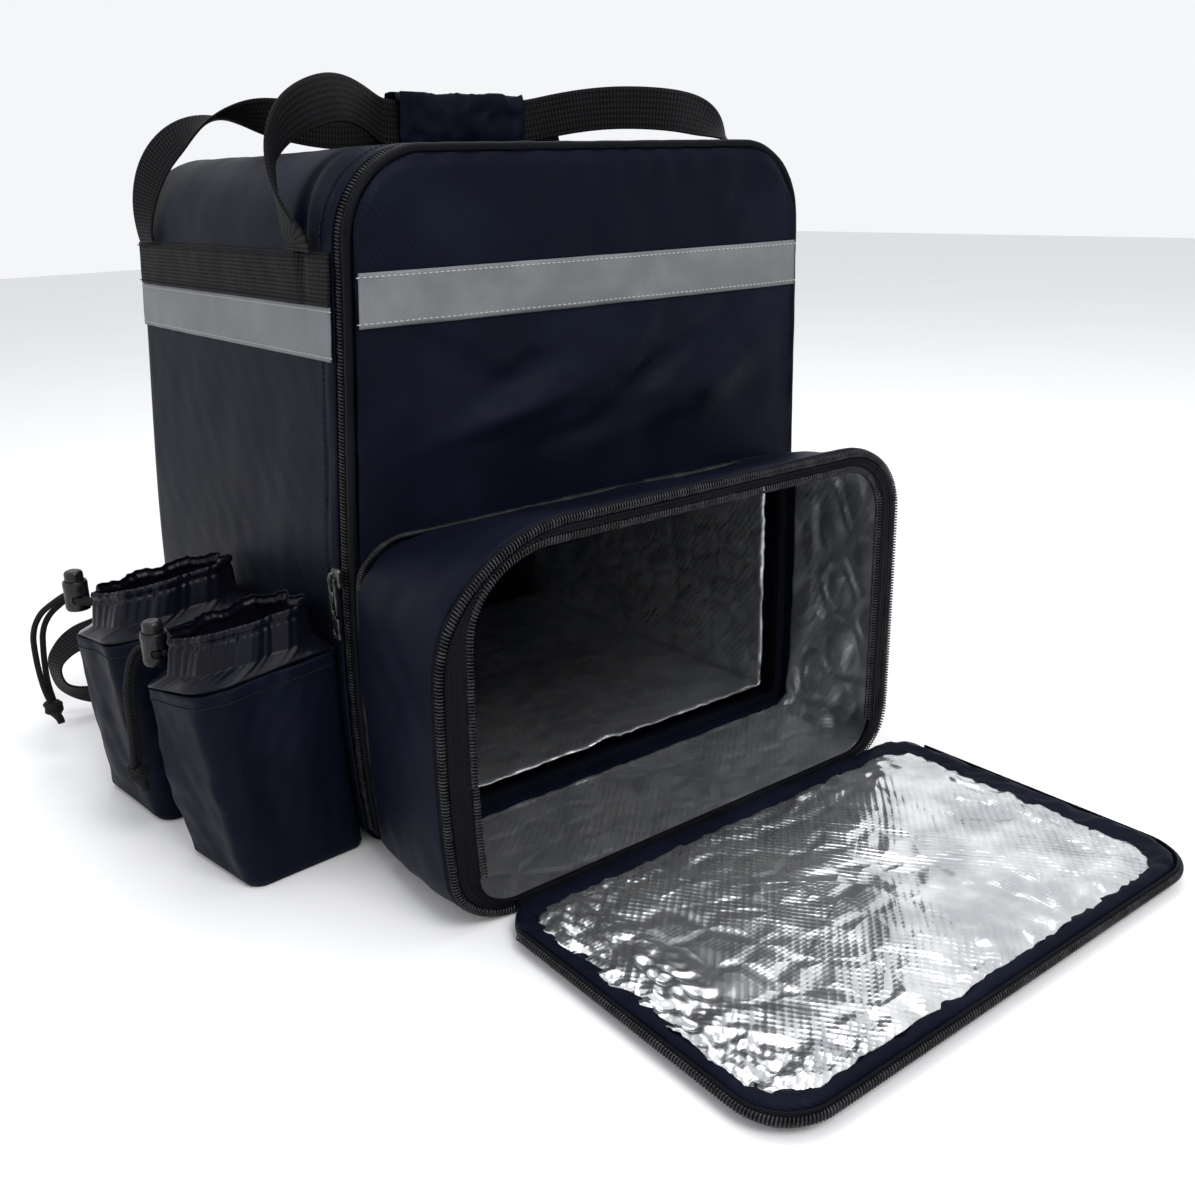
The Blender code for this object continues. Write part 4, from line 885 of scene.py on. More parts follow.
def coil(
    name: str, path: Array, up: Array, half: float, rise: float, closed: bool = False,
) -> bpy.types.Object:
    """A zipper's coil, a flat helix: path + half · cos(turn) across + rise · sin(turn) up.

    Args:
        name: the piece's name.
        path: the coil's middle line.
        up: the direction it stands out to, at each point or one for all.
        half: half the coil's width.
        rise: half its height.
        closed: whether the path is a loop.

    Returns:
        the object.
    """
    pitch, steps = 0.0019, 8
    line = spaced(np.concatenate((path, np.broadcast_to(up, path.shape)), axis=1), pitch / steps, closed)
    centre, raised = line[:, :3], unit(line[:, 3:])
    ahead = tangents(centre, closed)
    across = unit(np.cross(ahead, raised))
    turn = (np.arange(len(centre)) * 2 * math.pi / steps)[:, None]
    wire = centre + half * np.cos(turn) * across + rise * np.sin(turn) * raised
    out = unit(np.cos(turn) * across / half + np.sin(turn) * raised / rise)
    beside = unit(np.cross(tangents(wire, closed), out))
    points = carried(wire, out, beside, round_section(0.00052, 4))
    return solid(name, points)


def squared(across: Array, ahead: Array) -> Array:
    """The across vectors turned square to the path's direction, of length 1."""
    return unit(across - (across * ahead).sum(axis=1, keepdims=True) * ahead)


def ribbon(name: str, path: Array, across: Array, width: float, wall: float) -> bpy.types.Object:
    """A strap along a path.

    Args:
        name: the piece's name.
        path: its middle line.
        across: the direction of its width at each point.
        width: its width.
        wall: its thickness.

    Returns:
        the object.
    """
    ahead = tangents(path)
    across = squared(across, ahead)
    return solid(name, carried(path, across, np.cross(ahead, across), flat_section(width, wall)))


@dataclass(frozen=True)
class Radii:
    """Corner radii of an outline."""

    base_left: float
    base_right: float
    top_right: float
    top_left: float


@dataclass(frozen=True)
class Outline:
    """A rounded outline on the x and z plane."""

    left: float
    right: float
    low: float
    high: float
    radii: Radii

    def points(self, inset: float = 0.0) -> Array:
        """An (n, 2) loop anticlockwise from the base's left end: straight runs joined by quarter circles.

        Args:
            inset: how far inside the outline it runs.

        Returns:
            the points, in the same order and shares for every outline.
        """
        left, right, low, high = self.left + inset, self.right - inset, self.low + inset, self.high - inset
        radii = (self.radii.base_right, self.radii.top_right, self.radii.top_left, self.radii.base_left)
        a, b, c, d = corner = [max(radius - inset, min(radius, 0.004)) for radius in radii]
        starts = ((left + d, low), (right, low + a), (right - b, high), (left, high - c))
        ends = ((right - a, low), (right, high - b), (left + c, high), (left, low + d))
        parts = []
        for index, count in enumerate(RUN_COUNTS):
            start, end, radius = np.array(starts[index]), np.array(ends[index]), corner[index]
            parts.append(start + (end - start) * (np.arange(count) / count)[:, None])
            heading = math.pi / 2 * index
            centre = end + radius * np.array((-math.sin(heading), math.cos(heading)))
            turns = heading - math.pi / 2 + np.arange(BEND_COUNT) * math.pi / (2 * BEND_COUNT)
            parts.append(centre + radius * np.stack((np.cos(turns), np.sin(turns)), axis=-1))
        return np.concatenate(parts)

    @staticmethod
    def over_top(points: Array) -> Array:
        """The stretch of a loop from the right side's foot, over the top, to the left side's foot."""
        return points[RUN_COUNTS[0] + BEND_COUNT:len(points) - BEND_COUNT + 1]


@dataclass(frozen=True)
class BagShape:
    """The filled body's sizes and the soft set that all its sewn pieces share."""

    width: float = 0.340
    depth: float = 0.325
    height: float = 0.408
    left_swell: float = 0.0145
    right_swell: float = 0.003
    lean: float = 0.006
    base_spread: float = 0.62
    belly_spread: float = 0.75
    top_sag: float = 0.008
    crown: float = 0.004
    extension_height: float = 0.2005
    panel_wall: float = 0.008
    zipper_width: float = 0.0072
    mouth_left: float = 0.0085
    mouth_right: float = 0.010
    mouth_height: float = 0.2215
    rim_side: float = 0.0162
    rim_base: float = 0.0088
    rim_top: float = 0.0097
    side_folds: tuple[Crease, ...] = (
        Crease(-0.66, 0.915, 0.11, 0.028, 62, -0.24),
        Crease(-0.30, 0.930, 0.24, 0.040, 0, 0.10),
        Crease(0.55, 0.940, 0.22, 0.040, 0, -0.10),
    )
    front_folds: tuple[Crease, ...] = (
        Crease(-0.30, 0.62, 0.34, 0.050, 38, 0.80),
        Crease(0.16, 0.60, 0.40, 0.040, 52, -0.75),
        Crease(0.45, 0.57, 0.26, 0.055, 40, 0.60),
        Crease(-0.10, 0.93, 0.20, 0.030, -48, -0.50),
        Crease(-0.62, 0.58, 0.22, 0.060, -20, 0.40),
    )

    @property
    def half(self) -> float:
        """Half the width."""
        return self.width / 2

    @property
    def front(self) -> float:
        """The front panel's plane."""
        return -self.depth / 2

    @property
    def shell_front(self) -> float:
        """Where the body's cloth begins behind the zipper."""
        return self.front + self.panel_wall + GAP + self.zipper_width + SEWN_GAP

    @property
    def shell_back(self) -> float:
        """Where the body's cloth ends before the back panel."""
        return self.depth / 2 - self.panel_wall - SEWN_GAP

    @property
    def outline(self) -> Outline:
        """The body's outline."""
        return Outline(-self.half, self.half, 0, self.height, Radii(0.014, 0.014, 0.050, 0.050))

    @property
    def base_outline(self) -> Outline:
        """Where the extension meets the front panel."""
        return Outline(-self.half, self.half, 0, self.extension_height, Radii(0.014, 0.014, 0.028, 0.028))

    @property
    def mouth(self) -> Outline:
        """The extension's mouth."""
        left, right = -self.half - self.mouth_left, self.half - self.mouth_right
        return Outline(left, right, 0, self.mouth_height, Radii(0.034, 0.034, 0.048, 0.075))

    @property
    def opening(self) -> Outline:
        """The mouth rim's inner edge.

        Returns:
            its outline.
        """
        radii = Radii(0.034 * 0.6, 0.034 * 0.6, 0.048 * 0.72, 0.075 * 0.62)
        left = -self.half - self.mouth_left + self.rim_side
        right = self.half - self.mouth_right - self.rim_side
        return Outline(left, right, self.rim_base, self.mouth_height - self.rim_top, radii)

    def settled(self, points: Array) -> Array:
        """The soft set: the sides swell low down and at the belly, the top leans to the right and sags.

        Args:
            points: flat places, their coordinates last.

        Returns:
            the places, with x + (reach · swell + folds) · |side|³ + lean · height, and z less the sag.
        """
        x, y, z = points[..., 0], points[..., 1], points[..., 2]
        height = np.clip(z / self.height, 0, 1)
        side = np.clip(x / self.half, -1, 1)
        belly = self.belly_spread * np.sin(math.pi * height**0.62) ** 1.5
        swell = self.base_spread * (1 - height) ** 1.5 + belly
        reach = np.where(side < 0, -self.left_swell, self.right_swell)
        folds = -self.left_swell * creased(self.side_folds, y / (self.depth / 2), height)
        given = reach * swell + folds * np.where(side < 0, 1, -0.5)
        moved = x + given * np.abs(side) ** 3 + self.lean * height
        run = np.clip((y + self.depth / 2) / self.depth, 0, 1)
        sag = np.cos(side * math.pi / 2) ** 3 * np.sin(math.pi * run) ** 2 * smooth_step((height - 0.75) * 4)
        return np.stack((moved, y, z - self.top_sag * sag), axis=-1)

    def at_depth(self, outline: Array, y: Array | float) -> Array:
        """An outline's points set at a depth."""
        x, z = outline[..., 0], outline[..., 1]
        return self.settled(np.stack((x, np.broadcast_to(y, x.shape), z), axis=-1))

    def cloth_relief(self, points: Array) -> Array:
        """How far the body's cloth stands out: broad soft waves and finer ones, within a millimetre."""
        return 0.00042 * soft_noise(points, 0.075, 3) + 0.00012 * soft_noise(points, 0.022, 4)

    def front_relief(self, x: Array, z: Array) -> Array:
        """How far the front panel stands out past its plane, with its creases; nothing along its border.

        Args:
            x: places across the panel.
            z: their heights.

        Returns:
            the relief in metres.
        """
        across = 1 - np.clip(np.abs(x) / (self.half - 0.012), 0, 1) ** 4
        low = smooth_step((z - self.extension_height - 0.012) / 0.045)
        high = smooth_step((self.height - 0.012 - z) / 0.040)
        folds = creased(self.front_folds, x / self.half, z / self.height)
        fine = creased(FRONT_CREASES, x, z)
        place = np.stack((x, z), axis=-1)
        soft = 0.0006 * soft_noise(place, 0.060, 11) + 0.00018 * soft_noise(place, 0.020, 12)
        return (self.crown * (0.5 + 0.45 * folds) + 1.7 * fine + 1.2 * soft) * across * low * high


FRONT_CREASES = (
    Crease(-0.108, 0.292, 0.036, 0.011, -32, -0.0026),
    Crease(-0.074, 0.257, 0.046, 0.0085, 14, 0.0034),
    Crease(-0.070, 0.276, 0.040, 0.0090, 20, -0.0026),
    Crease(0.046, 0.273, 0.046, 0.0085, 30, -0.0036),
    Crease(0.088, 0.258, 0.062, 0.0130, 19, 0.0040),
    Crease(0.020, 0.290, 0.034, 0.0100, 36, 0.0022),
    Crease(-0.040, 0.384, 0.020, 0.0050, 62, -0.0022),
    Crease(-0.120, 0.372, 0.016, 0.0050, 75, -0.0014),
    Crease(0.060, 0.386, 0.022, 0.0060, 40, -0.0014),
    Crease(0.112, 0.380, 0.018, 0.0050, 65, -0.0016),
    Crease(0.157, 0.262, 0.028, 0.0060, 88, -0.0030),
    Crease(0.142, 0.236, 0.024, 0.0070, 60, 0.0020),
    Crease(-0.145, 0.262, 0.030, 0.0080, 80, 0.0020),
    Crease(-0.020, 0.238, 0.050, 0.0080, 8, -0.0022),
)
BAG = BagShape()


@dataclass
class BagBody:
    """The padded body: its cloth band, front and back panels, piping, foil lining and front zipper."""

    shape: BagShape = BAG
    wall: float = 0.006
    lining_wall: float = 0.0012
    lining_inset: float = 0.0115
    seam: float = 0.0105

    def build(self) -> None:
        """Builds and dresses the body's pieces."""
        self.build_band()
        self.build_front()
        self.build_back()
        self.build_lining()
        self.build_zipper()
        self.build_seams()

    def band_points(self, inset: float, y: Array) -> Array:
        """The band's grid of rows along y, standing out by the cloth's relief along the outline's normal.

        Args:
            inset: how far inside the outline it runs.
            y: the rows' places.

        Returns:
            the grid.
        """
        loop = self.shape.outline.points(inset)
        ahead = np.roll(loop, -1, axis=0) - np.roll(loop, 1, axis=0)
        normal = unit(np.stack((ahead[:, 1], -ahead[:, 0]), axis=-1))
        flat = np.stack(np.broadcast_arrays(loop[:, 0], y[:, None], loop[:, 1]), axis=-1)
        relief = self.shape.cloth_relief(flat)
        seam = -0.0009 * np.exp(-(((y - self.shape.shell_front - self.seam) / 0.0011) ** 2))[:, None]
        ends = smooth_step(np.minimum(y - y[0], y[-1] - y) / 0.006)[:, None]
        puff = 0.0006 * (ends - 1)
        grounded = np.where(loop[:, 1] < 0.006, 0.0, 1.0)
        moved = (relief * ends + seam + puff) * grounded
        flat[..., 0] += moved * normal[:, 0]
        flat[..., 2] += moved * normal[:, 1]
        return self.shape.settled(flat)

    def build_band(self) -> None:
        """The cloth round the base, sides and top."""
        y = np.linspace(self.shape.shell_front, self.shape.shell_back, 132)
        points = outward(self.band_points(0.0, y), (0, 0, 0.2))
        band = walled(surface("body_band", points, around=True), self.wall)
        dressed(band, Finish.OXFORD, ["body_shell"])

    def build_front(self) -> None:
        """The front panel: rows from the doorway to the piping, standing out by the front's relief."""
        inner = self.shape.base_outline.points(0.003 + 0.0105)
        outer = self.shape.outline.points(PIPING_RADIUS * (1 + math.sqrt(0.5)) + GAP + SEWN_GAP)
        share = np.linspace(0, 1, 92)[:, None, None]
        flat = inner + (outer - inner) * share
        loop = np.arange(len(outer)) / len(outer) * 2 * math.pi
        near_edge = np.exp(-(((1 - share[..., 0]) / 0.10) ** 2))
        pucker = 0.0007 * np.sin(46 * loop + 2 * np.sin(7 * loop)) * near_edge
        roll = 0.0022 * smooth_step((share[..., 0] - 0.965) / 0.035)
        relief = self.shape.front_relief(flat[..., 0], flat[..., 1])
        relief = relief + pucker * np.where(outer[:, 1] > 0.21, 1, 0) - roll
        points = self.shape.at_depth(flat, self.shape.front - relief)
        points = outward(points, (0, 1, 0.2))
        panel = walled(surface("front_door", points, around=True), self.shape.panel_wall - 0.001)
        dressed(panel, Finish.OXFORD, ["front_panel"])
        self.build_piping()

    def build_piping(self) -> None:
        """The cord edge between the front panel and the zipper."""
        plane = self.shape.front + self.shape.panel_wall - GAP - PIPING_RADIUS - 0.0008
        loop = Outline.over_top(self.shape.outline.points(PIPING_RADIUS + GAP))
        path = spaced(self.shape.at_depth(loop, plane), 0.004)
        ahead = tangents(path)
        forward = np.broadcast_to(REARWARD, path.shape)
        side = unit(np.cross(ahead, forward))
        width = 1 + 0.05 * soft_noise(path, 0.02, 21)[:, None, None]
        cord = carried(path, side, np.cross(side, ahead), round_section(PIPING_RADIUS, 14))
        points = path[:, None] + (cord - path[:, None]) * width
        dressed(solid("door_piping", points), Finish.BINDING, ["front_piping"])

    def build_back(self) -> None:
        """The back panel: a cushioned plate with four sewn channels, its middle rounded between them."""
        shape = self.shape
        outer = shape.outline.points(0.0035)
        centre = np.array((0.0, shape.height / 2))
        rows = [(1.0, -shape.panel_wall), (1.006, -shape.panel_wall * 0.6), (1.006, -0.002), (1.0, -0.0006)]
        border = [centre + (outer - centre) * scale for scale, _ in rows]
        share = np.linspace(0.985, 0.02, 74)[:, None, None]
        inner = centre + (outer - centre) * share
        across, up = inner[..., 0], inner[..., 1]
        channels = sum(np.exp(-(((across - x) / 0.004) ** 2)) for x in (-0.10, -0.035, 0.035, 0.10))
        inside = smooth_step((0.93 - share[..., 0]) / 0.05) * smooth_step((0.13 - np.abs(across)) / 0.01)
        relief = -0.0016 * channels * inside + 0.0003 * soft_noise(inner, 0.05, 31) * inside
        depth = [np.full(len(outer), shape.depth / 2 + y) for _, y in rows]
        face = np.broadcast_to(shape.depth / 2 - 0.0004, across.shape) + relief
        loops = np.concatenate((np.stack(border), inner))
        planes = np.concatenate((np.stack(depth), face))
        plate = solid("back_cushion", shape.at_depth(loops, planes))
        dressed(plate, Finish.OXFORD, ["back_panel"])

    def build_lining(self) -> None:
        """The foil inside the body, loosely crumpled."""
        shape = self.shape
        y = np.linspace(shape.shell_front, shape.shell_back - GAP, 70)
        loop = shape.outline.points(self.lining_inset)
        flat = np.stack(np.broadcast_arrays(loop[:, 0], y[:, None], loop[:, 1]), axis=-1)
        toward = unit(np.stack((flat[..., 0] * 1.2, flat[..., 2] - shape.height / 2), axis=-1))
        sink = 0.0014 * np.abs(sharp_noise(flat, 0.045, 41))
        flat[..., 0] -= toward[..., 0] * sink
        flat[..., 2] -= toward[..., 1] * sink
        points = outward(shape.settled(flat), (0, 0, 0.2))
        lining = walled(surface("body_foil", points, around=True), self.lining_wall)
        # The foil here is painted darker than the flap's, as painted shade inside the body.
        dressed(lining, Finish.LINING, ["body_lining"])

    def build_zipper(self) -> None:
        """The front zipper: a tape in the seam's bottom and a flat coil between cloth and piping."""
        shape = self.shape
        front = shape.front + shape.panel_wall + GAP
        back = front + shape.zipper_width
        self.build_band_ring("door_zipper_tape", (0.0024, 0.0062), (front, back), ["main_zipper"])
        self.build_band_ring("door_gutter", (0.0034, 0.0086), (front - 0.0012, front - 0.0002))
        middle = (front + back) / 2
        path = shape.at_depth(Outline.over_top(shape.outline.points(0.0019)), middle)
        outer = shape.at_depth(Outline.over_top(shape.outline.points(0.0)), middle)
        teeth = coil("door_zipper_coil", path, outer - path, 0.0028, 0.0012)
        dressed(teeth, Finish.COIL)

    def build_band_ring(
        self, name: str, insets: tuple[float, float], planes: tuple[float, float], nodes: Sequence[str] = (),
    ) -> None:
        """A closed tape of square section round the body's outline.

        Args:
            name: the piece's name.
            insets: its two distances inside the outline.
            planes: its front and its back plane.
            nodes: the model's nodes that it replaces.
        """
        front, back = planes
        section = ((insets[0], front), (insets[0], back), (insets[1], back), (insets[1], front))
        points = np.stack([self.shape.at_depth(self.shape.outline.points(inset), y) for inset, y in section])
        dressed(solid(name, points, ring=True), Finish.BINDING, nodes)

    def build_seams(self) -> None:
        """The stitches beside the front edge of the band."""
        shape = self.shape
        plane = shape.shell_front + self.seam + 0.0026
        path = shape.at_depth(Outline.over_top(shape.outline.points(-0.0002)), plane)
        wider = shape.at_depth(Outline.over_top(shape.outline.points(-0.002)), plane)
        seam = stitches("band_seam", path, wider - path, 0.0034, 0.00030)
        dressed(seam, Finish.DARK_THREAD)


@dataclass(frozen=True)
class Station:
    """A place along the extension's depth, with its shares of flare, rise and sag."""

    along: float
    grow: float
    rise: float
    sag: float


@dataclass
class LowerExtension:
    """The cloth gusset low on the front, its foil, the mouth's rim and its three coils."""

    shape: BagShape = BAG
    depth: float = 0.100
    wall: float = 0.003
    sag: float = 0.005
    stations: tuple[Station, ...] = (
        Station(0.00, 0.00, 0.00, 0.0), Station(0.055, 0.00, 0.02, 0.0), Station(0.14, 0.50, 0.16, 0.3),
        Station(0.60, 0.80, 0.62, 1.0), Station(1.00, 1.00, 1.00, 0.0),
    )

    @property
    def plane(self) -> float:
        """The mouth's plane."""
        return self.shape.front - self.depth

    def loops(self, inset: float, along: Array, relief: Callable[[Array], Array]) -> Array:
        """The gusset's grid: loops between the base's outline and the mouth's, their tops sagging between.

        Args:
            inset: how far inside the cloth it runs.
            along: the rows' shares of the depth.
            relief: how far the places stand out.

        Returns:
            the grid.
        """
        table = np.array([(s.along, s.grow, s.rise, s.sag) for s in self.stations])
        grow, rise, sag = (np.interp(along, table[:, 0], table[:, i])[:, None] for i in (1, 2, 3))
        end = self.shape.mouth.points(inset)
        start = np.stack([self.shape.base_outline.points(inset + 0.0064 * (1 - g)) for g in grow[:, 0]])
        flat = start + (end - start) * np.stack((grow, rise), axis=-1)
        across = np.clip(flat[..., 0] / self.shape.half, -1, 1)
        top = smooth_step((flat[..., 1] / self.shape.extension_height - 0.8) * 5)
        flat[..., 1] -= self.sag * sag * top * np.cos(across * math.pi / 2)
        y = np.broadcast_to((self.shape.front - GAP - (self.depth - GAP) * along)[:, None], flat.shape[:2])
        ahead = np.roll(flat, -1, axis=1) - np.roll(flat, 1, axis=1)
        normal = unit(np.stack((ahead[..., 1], -ahead[..., 0]), axis=-1))
        out = relief(np.stack((flat[..., 0], y, flat[..., 1]), axis=-1))
        held = np.sin(math.pi * np.clip(along, 0, 1))[:, None] ** 0.5
        out = out * np.where(flat[..., 1] < 0.008, 0, 1) * held
        return self.shape.at_depth(flat + out[..., None] * normal, y)

    def cloth_relief(self, points: Array) -> Array:
        """The padding's low swell with broad soft waves and finer ones."""
        return 0.0014 + 0.0013 * soft_noise(points, 0.070, 51) + 0.00035 * soft_noise(points, 0.022, 52)

    def build(self) -> None:
        """Builds and dresses the extension's pieces."""
        inside = (0, self.shape.front - self.depth / 2, 0.1)
        points = self.loops(0.0, np.linspace(0, 1, 58), self.cloth_relief)
        gusset = walled(surface("extension_cloth", outward(points, inside), around=True), self.wall)
        dressed(gusset, Finish.OXFORD, ["extension_shell"])
        along = np.linspace(0.14, 0.985, 50)
        crumpled = self.loops(self.wall + 0.0024, along, lambda p: -0.0016 * np.abs(sharp_noise(p, 0.04, 61)))
        lining = walled(surface("extension_foil", outward(crumpled, inside), around=True), 0.0011)
        # The foil here is painted darker than the flap's, as painted shade inside the extension.
        dressed(lining, Finish.LINING, ["extension_lining"])
        self.build_rim()
        self.build_coils()

    def build_rim(self) -> None:
        """The mouth's rim: a ring of tapes, its face stepped by sewn lines that follow its edges."""
        front, back = self.plane - GAP, self.plane - GAP - 0.0025
        outer, inner = self.shape.mouth.points(0.0058), self.shape.opening.points()
        share = np.linspace(0, 1, 26)
        lines = 0.0007 * np.abs(np.sin(share * math.pi * 3.5)) ** 0.5
        face = back - lines - 0.0004
        fan = np.concatenate((face, np.full(3, front)))
        spread = np.concatenate((share, (1.0, 0.5, 0.0)))[:, None, None]
        flat = outer + (inner - outer) * spread
        y = np.broadcast_to(fan[:, None], flat.shape[:2])
        wave = 0.0004 * soft_noise(flat, 0.03, 71) * np.sin(math.pi * spread[..., 0])
        rim = solid("mouth_rim_tapes", self.shape.at_depth(flat, y - np.where(y < front, wave, 0)), ring=True)
        dressed(rim, Finish.BINDING, ["mouth_rim"])
        for name, mix in (("outer", 0.22), ("inner", 0.78)):
            loop = Outline.over_top(outer + (inner - outer) * mix)
            path = self.shape.at_depth(loop, back - 0.0011)
            row = stitches(f"mouth_rim_{name}_seam", path, FORWARD, 0.0032, 0.0003)
            dressed(row, Finish.DARK_THREAD)

    def build_coils(self) -> None:
        """The coils round the junction with the front, round the mouth and along its inner edge."""
        shape = self.shape
        seam = shape.at_depth(shape.base_outline.points(0.003), shape.front - COIL_RADIUS - GAP)
        centre = np.array((0.0, seam[0, 1], 0.1))
        junction = coil("junction_zipper_coil", seam, seam - centre, 0.0020, 0.0020, closed=True)
        dressed(junction, Finish.COIL, ["base_zipper"])
        plane = self.plane - GAP - COIL_RADIUS
        outer = shape.at_depth(shape.mouth.points(0.003), plane)
        teeth = coil("mouth_outer_coil", outer, FORWARD, 0.0022, 0.0017, closed=True)
        dressed(teeth, Finish.COIL, ["depth_zipper"])
        inner = shape.at_depth(Outline.over_top(shape.opening.points(COIL_RADIUS + GAP)), plane)
        teeth = coil("mouth_inner_coil", inner, FORWARD, 0.0022, 0.0017)
        dressed(teeth, Finish.COIL, ["mouth_zipper"])
        self.build_edge(outer)

    def build_edge(self, outer: Array) -> None:
        """The bound edge behind the mouth's outer coil.

        Args:
            outer: the coil's middle line.
        """
        path = spaced(outer + np.array((0.0, 0.0019, 0.0)), 0.004, closed=True)
        ahead = tangents(path, closed=True)
        forward = np.broadcast_to(REARWARD, path.shape)
        side = unit(np.cross(ahead, forward))
        points = carried(path, side, forward, round_section(0.0030, 12, 0.0011))
        dressed(solid("mouth_edge_binding", points, ring=True), Finish.BINDING)


@dataclass
class Flap:
    """The padded flap let down on the floor, with its foil, its coil and its cloth hinge."""

    shape: BagShape = BAG
    width: float = 0.335
    length: float = 0.212
    thickness: float = 0.014
    near: float = BAG.front - 0.100 - GAP - 0.0025 - 0.0085

    def plan(self, inset: float = 0.0) -> Array:
        """The flap's plan, anticlockwise from above, its far edge first.

        Args:
            inset: how far inside the edge it runs.

        Returns:
            places as x and y.
        """
        radii = Radii(0.028, 0.028, 0.022, 0.022)
        half = self.width / 2
        return Outline(-half, half, self.near - self.length, self.near, radii).points(inset)

    def build(self) -> None:
        """Builds and dresses the flap's pieces."""
        self.build_pad()
        self.build_foil()
        self.build_coil()
        self.build_hinge()

    def build_pad(self) -> None:
        """The black pad: a rolled edge of half round section, and a border that dips to the foil's seam."""
        turns = np.linspace(-math.pi / 2, math.pi / 2, 15)
        rolled = 0.0052
        insets = rolled * (1 - np.cos(turns))
        heights = self.thickness / 2 * (1 + np.sin(turns))
        share = np.linspace(0, 1, 30)[1:]
        insets = np.concatenate((insets, rolled + 0.030 * share))
        dip = 0.0022 * smooth_step(share * 30 / 14)
        heights = np.concatenate((heights, self.thickness - dip))
        loops = np.stack([self.plan(inset) for inset in insets])
        levels = np.broadcast_to(heights[:, None, None], (*loops.shape[:2], 1))
        flat = np.concatenate((loops, levels), axis=-1)
        soft = 0.0005 * soft_noise(flat, 0.030, 81) + 0.0004 * sharp_noise(flat, 0.016, 82)
        flat[..., 2] += np.where(flat[..., 2] > 0.009, soft, 0)
        middle = flat[-1:].copy()
        core = middle[..., :2].mean(axis=1, keepdims=True)
        middle[..., :2] = core + 0.05 * (middle[..., :2] - core)
        pad = solid("flap_pad", np.concatenate((flat, middle)))
        dressed(pad, Finish.OXFORD, ["flap_panel"])

    def foil_height(self, place: Array, share: Array) -> Array:
        """The foil's height: a low quilted swell, crumples that grow towards its edge, and fine ripples.

        Args:
            place: x and y.
            share: 0 at the middle and 1 at the edge.

        Returns:
            the height over the floor.
        """
        swell = (1 - share**4) * 0.0020
        waves = 0.0005 * (np.sin(place[..., 0] * 62 + place[..., 1] * 38)
                          + np.sin(place[..., 0] * 27 - place[..., 1] * 71 + 1.3)) * (1 - share**6)
        edge = smooth_step((share - 0.66) / 0.30)
        left = smooth_step((-place[..., 0] - 0.03) / 0.10)
        crumple = 0.0012 * np.maximum(sharp_noise(place, 0.034, 91), -0.6) * edge
        sharp = 0.0008 * sharp_noise(place, 0.016, 92) * edge * (0.4 + 0.6 * left)
        ripple = 0.00030 * sharp_noise(place, 0.050, 93) * (1 - edge)
        return self.thickness + SEWN_GAP + swell + waves + crumple + sharp + ripple

    def build_foil(self) -> None:
        """The foil sheet, its edge drawn in unevenly where it is caught under the border."""
        radii = Radii(0.028, 0.028, 0.022, 0.022)
        edge = Outline(-self.width / 2 + 0.0045, self.width / 2 - 0.018, self.near - self.length + 0.006,
                       self.near - 0.015, radii).points()
        centre = edge.mean(axis=0)
        ragged = 1 - 0.010 * np.abs(soft_noise(edge, 0.022, 94)) - 0.006 * np.abs(soft_noise(edge, 0.009, 95))
        share = np.linspace(1, 0.01, 110)[:, None]
        place = centre + (edge - centre) * (share * (1 - share**12 + ragged * share**12))[..., None]
        height = self.foil_height(place, np.broadcast_to(share, place.shape[:2])) - 0.0016 * share**40
        points = np.concatenate((place, height[..., None]), axis=-1)
        points = outward(points, (0, centre[1], -5))
        sheet = walled(surface("flap_foil_sheet", points, around=True, last=True), 0.0012, 1)
        dressed(sheet, Finish.FOIL, ["flap_foil"])

    def build_coil(self) -> None:
        """The coil low on the flap's outer side."""
        def run(inset: float) -> Array:
            """The stretch from the near left corner, round the far edge, to the near right corner.

            Args:
                inset: how far inside the plan it runs.

            Returns:
                the stretch's points.
            """
            loop = self.plan(inset)
            level = np.concatenate((loop, np.full((len(loop), 1), self.thickness * 0.60)), axis=-1)
            near_left = len(level) - RUN_COUNTS[3] - BEND_COUNT
            near_right = RUN_COUNTS[0] + BEND_COUNT + RUN_COUNTS[1]
            return np.concatenate((level[near_left:], level[:near_right + 1]))

        line = run(-COIL_RADIUS)
        teeth = coil("flap_zipper_coil", line, line - run(0.01), 0.0022, 0.0013)
        dressed(teeth, Finish.COIL, ["flap_zipper"])
        path = spaced(run(-0.0007), 0.004)
        ahead = tangents(path)
        up = np.broadcast_to(UPRIGHT, path.shape)
        points = carried(path, np.cross(ahead, up), up, round_section(0.0010, 12, 0.0042))
        dressed(solid("flap_edge_tape", points), Finish.BINDING)

    def build_hinge(self) -> None:
        """The cloth strip from the mouth's lower rim to the flap: a shallow trough."""
        start = self.near + 0.0085 - GAP
        end = self.near + GAP
        left, right = self.shape.opening.left + 0.017, self.shape.opening.right - 0.017
        share = np.linspace(0, 1, 15)
        x = np.linspace(left, right, 130)
        sink = 0.0007 * np.sin(math.pi * share) ** 0.7
        y, z = start + (end - start) * share, self.shape.rim_base - sink
        flat = np.stack(np.broadcast_arrays(x[:, None], y, z), axis=-1)
        flat[..., 2] += 0.0002 * soft_noise(flat, 0.012, 99)
        points = outward(self.shape.settled(flat), (0, start, -1), around=False)
        hinge = walled(surface("hinge_cloth", points), 0.002)
        dressed(hinge, Finish.BINDING, ["flap_hinge"])


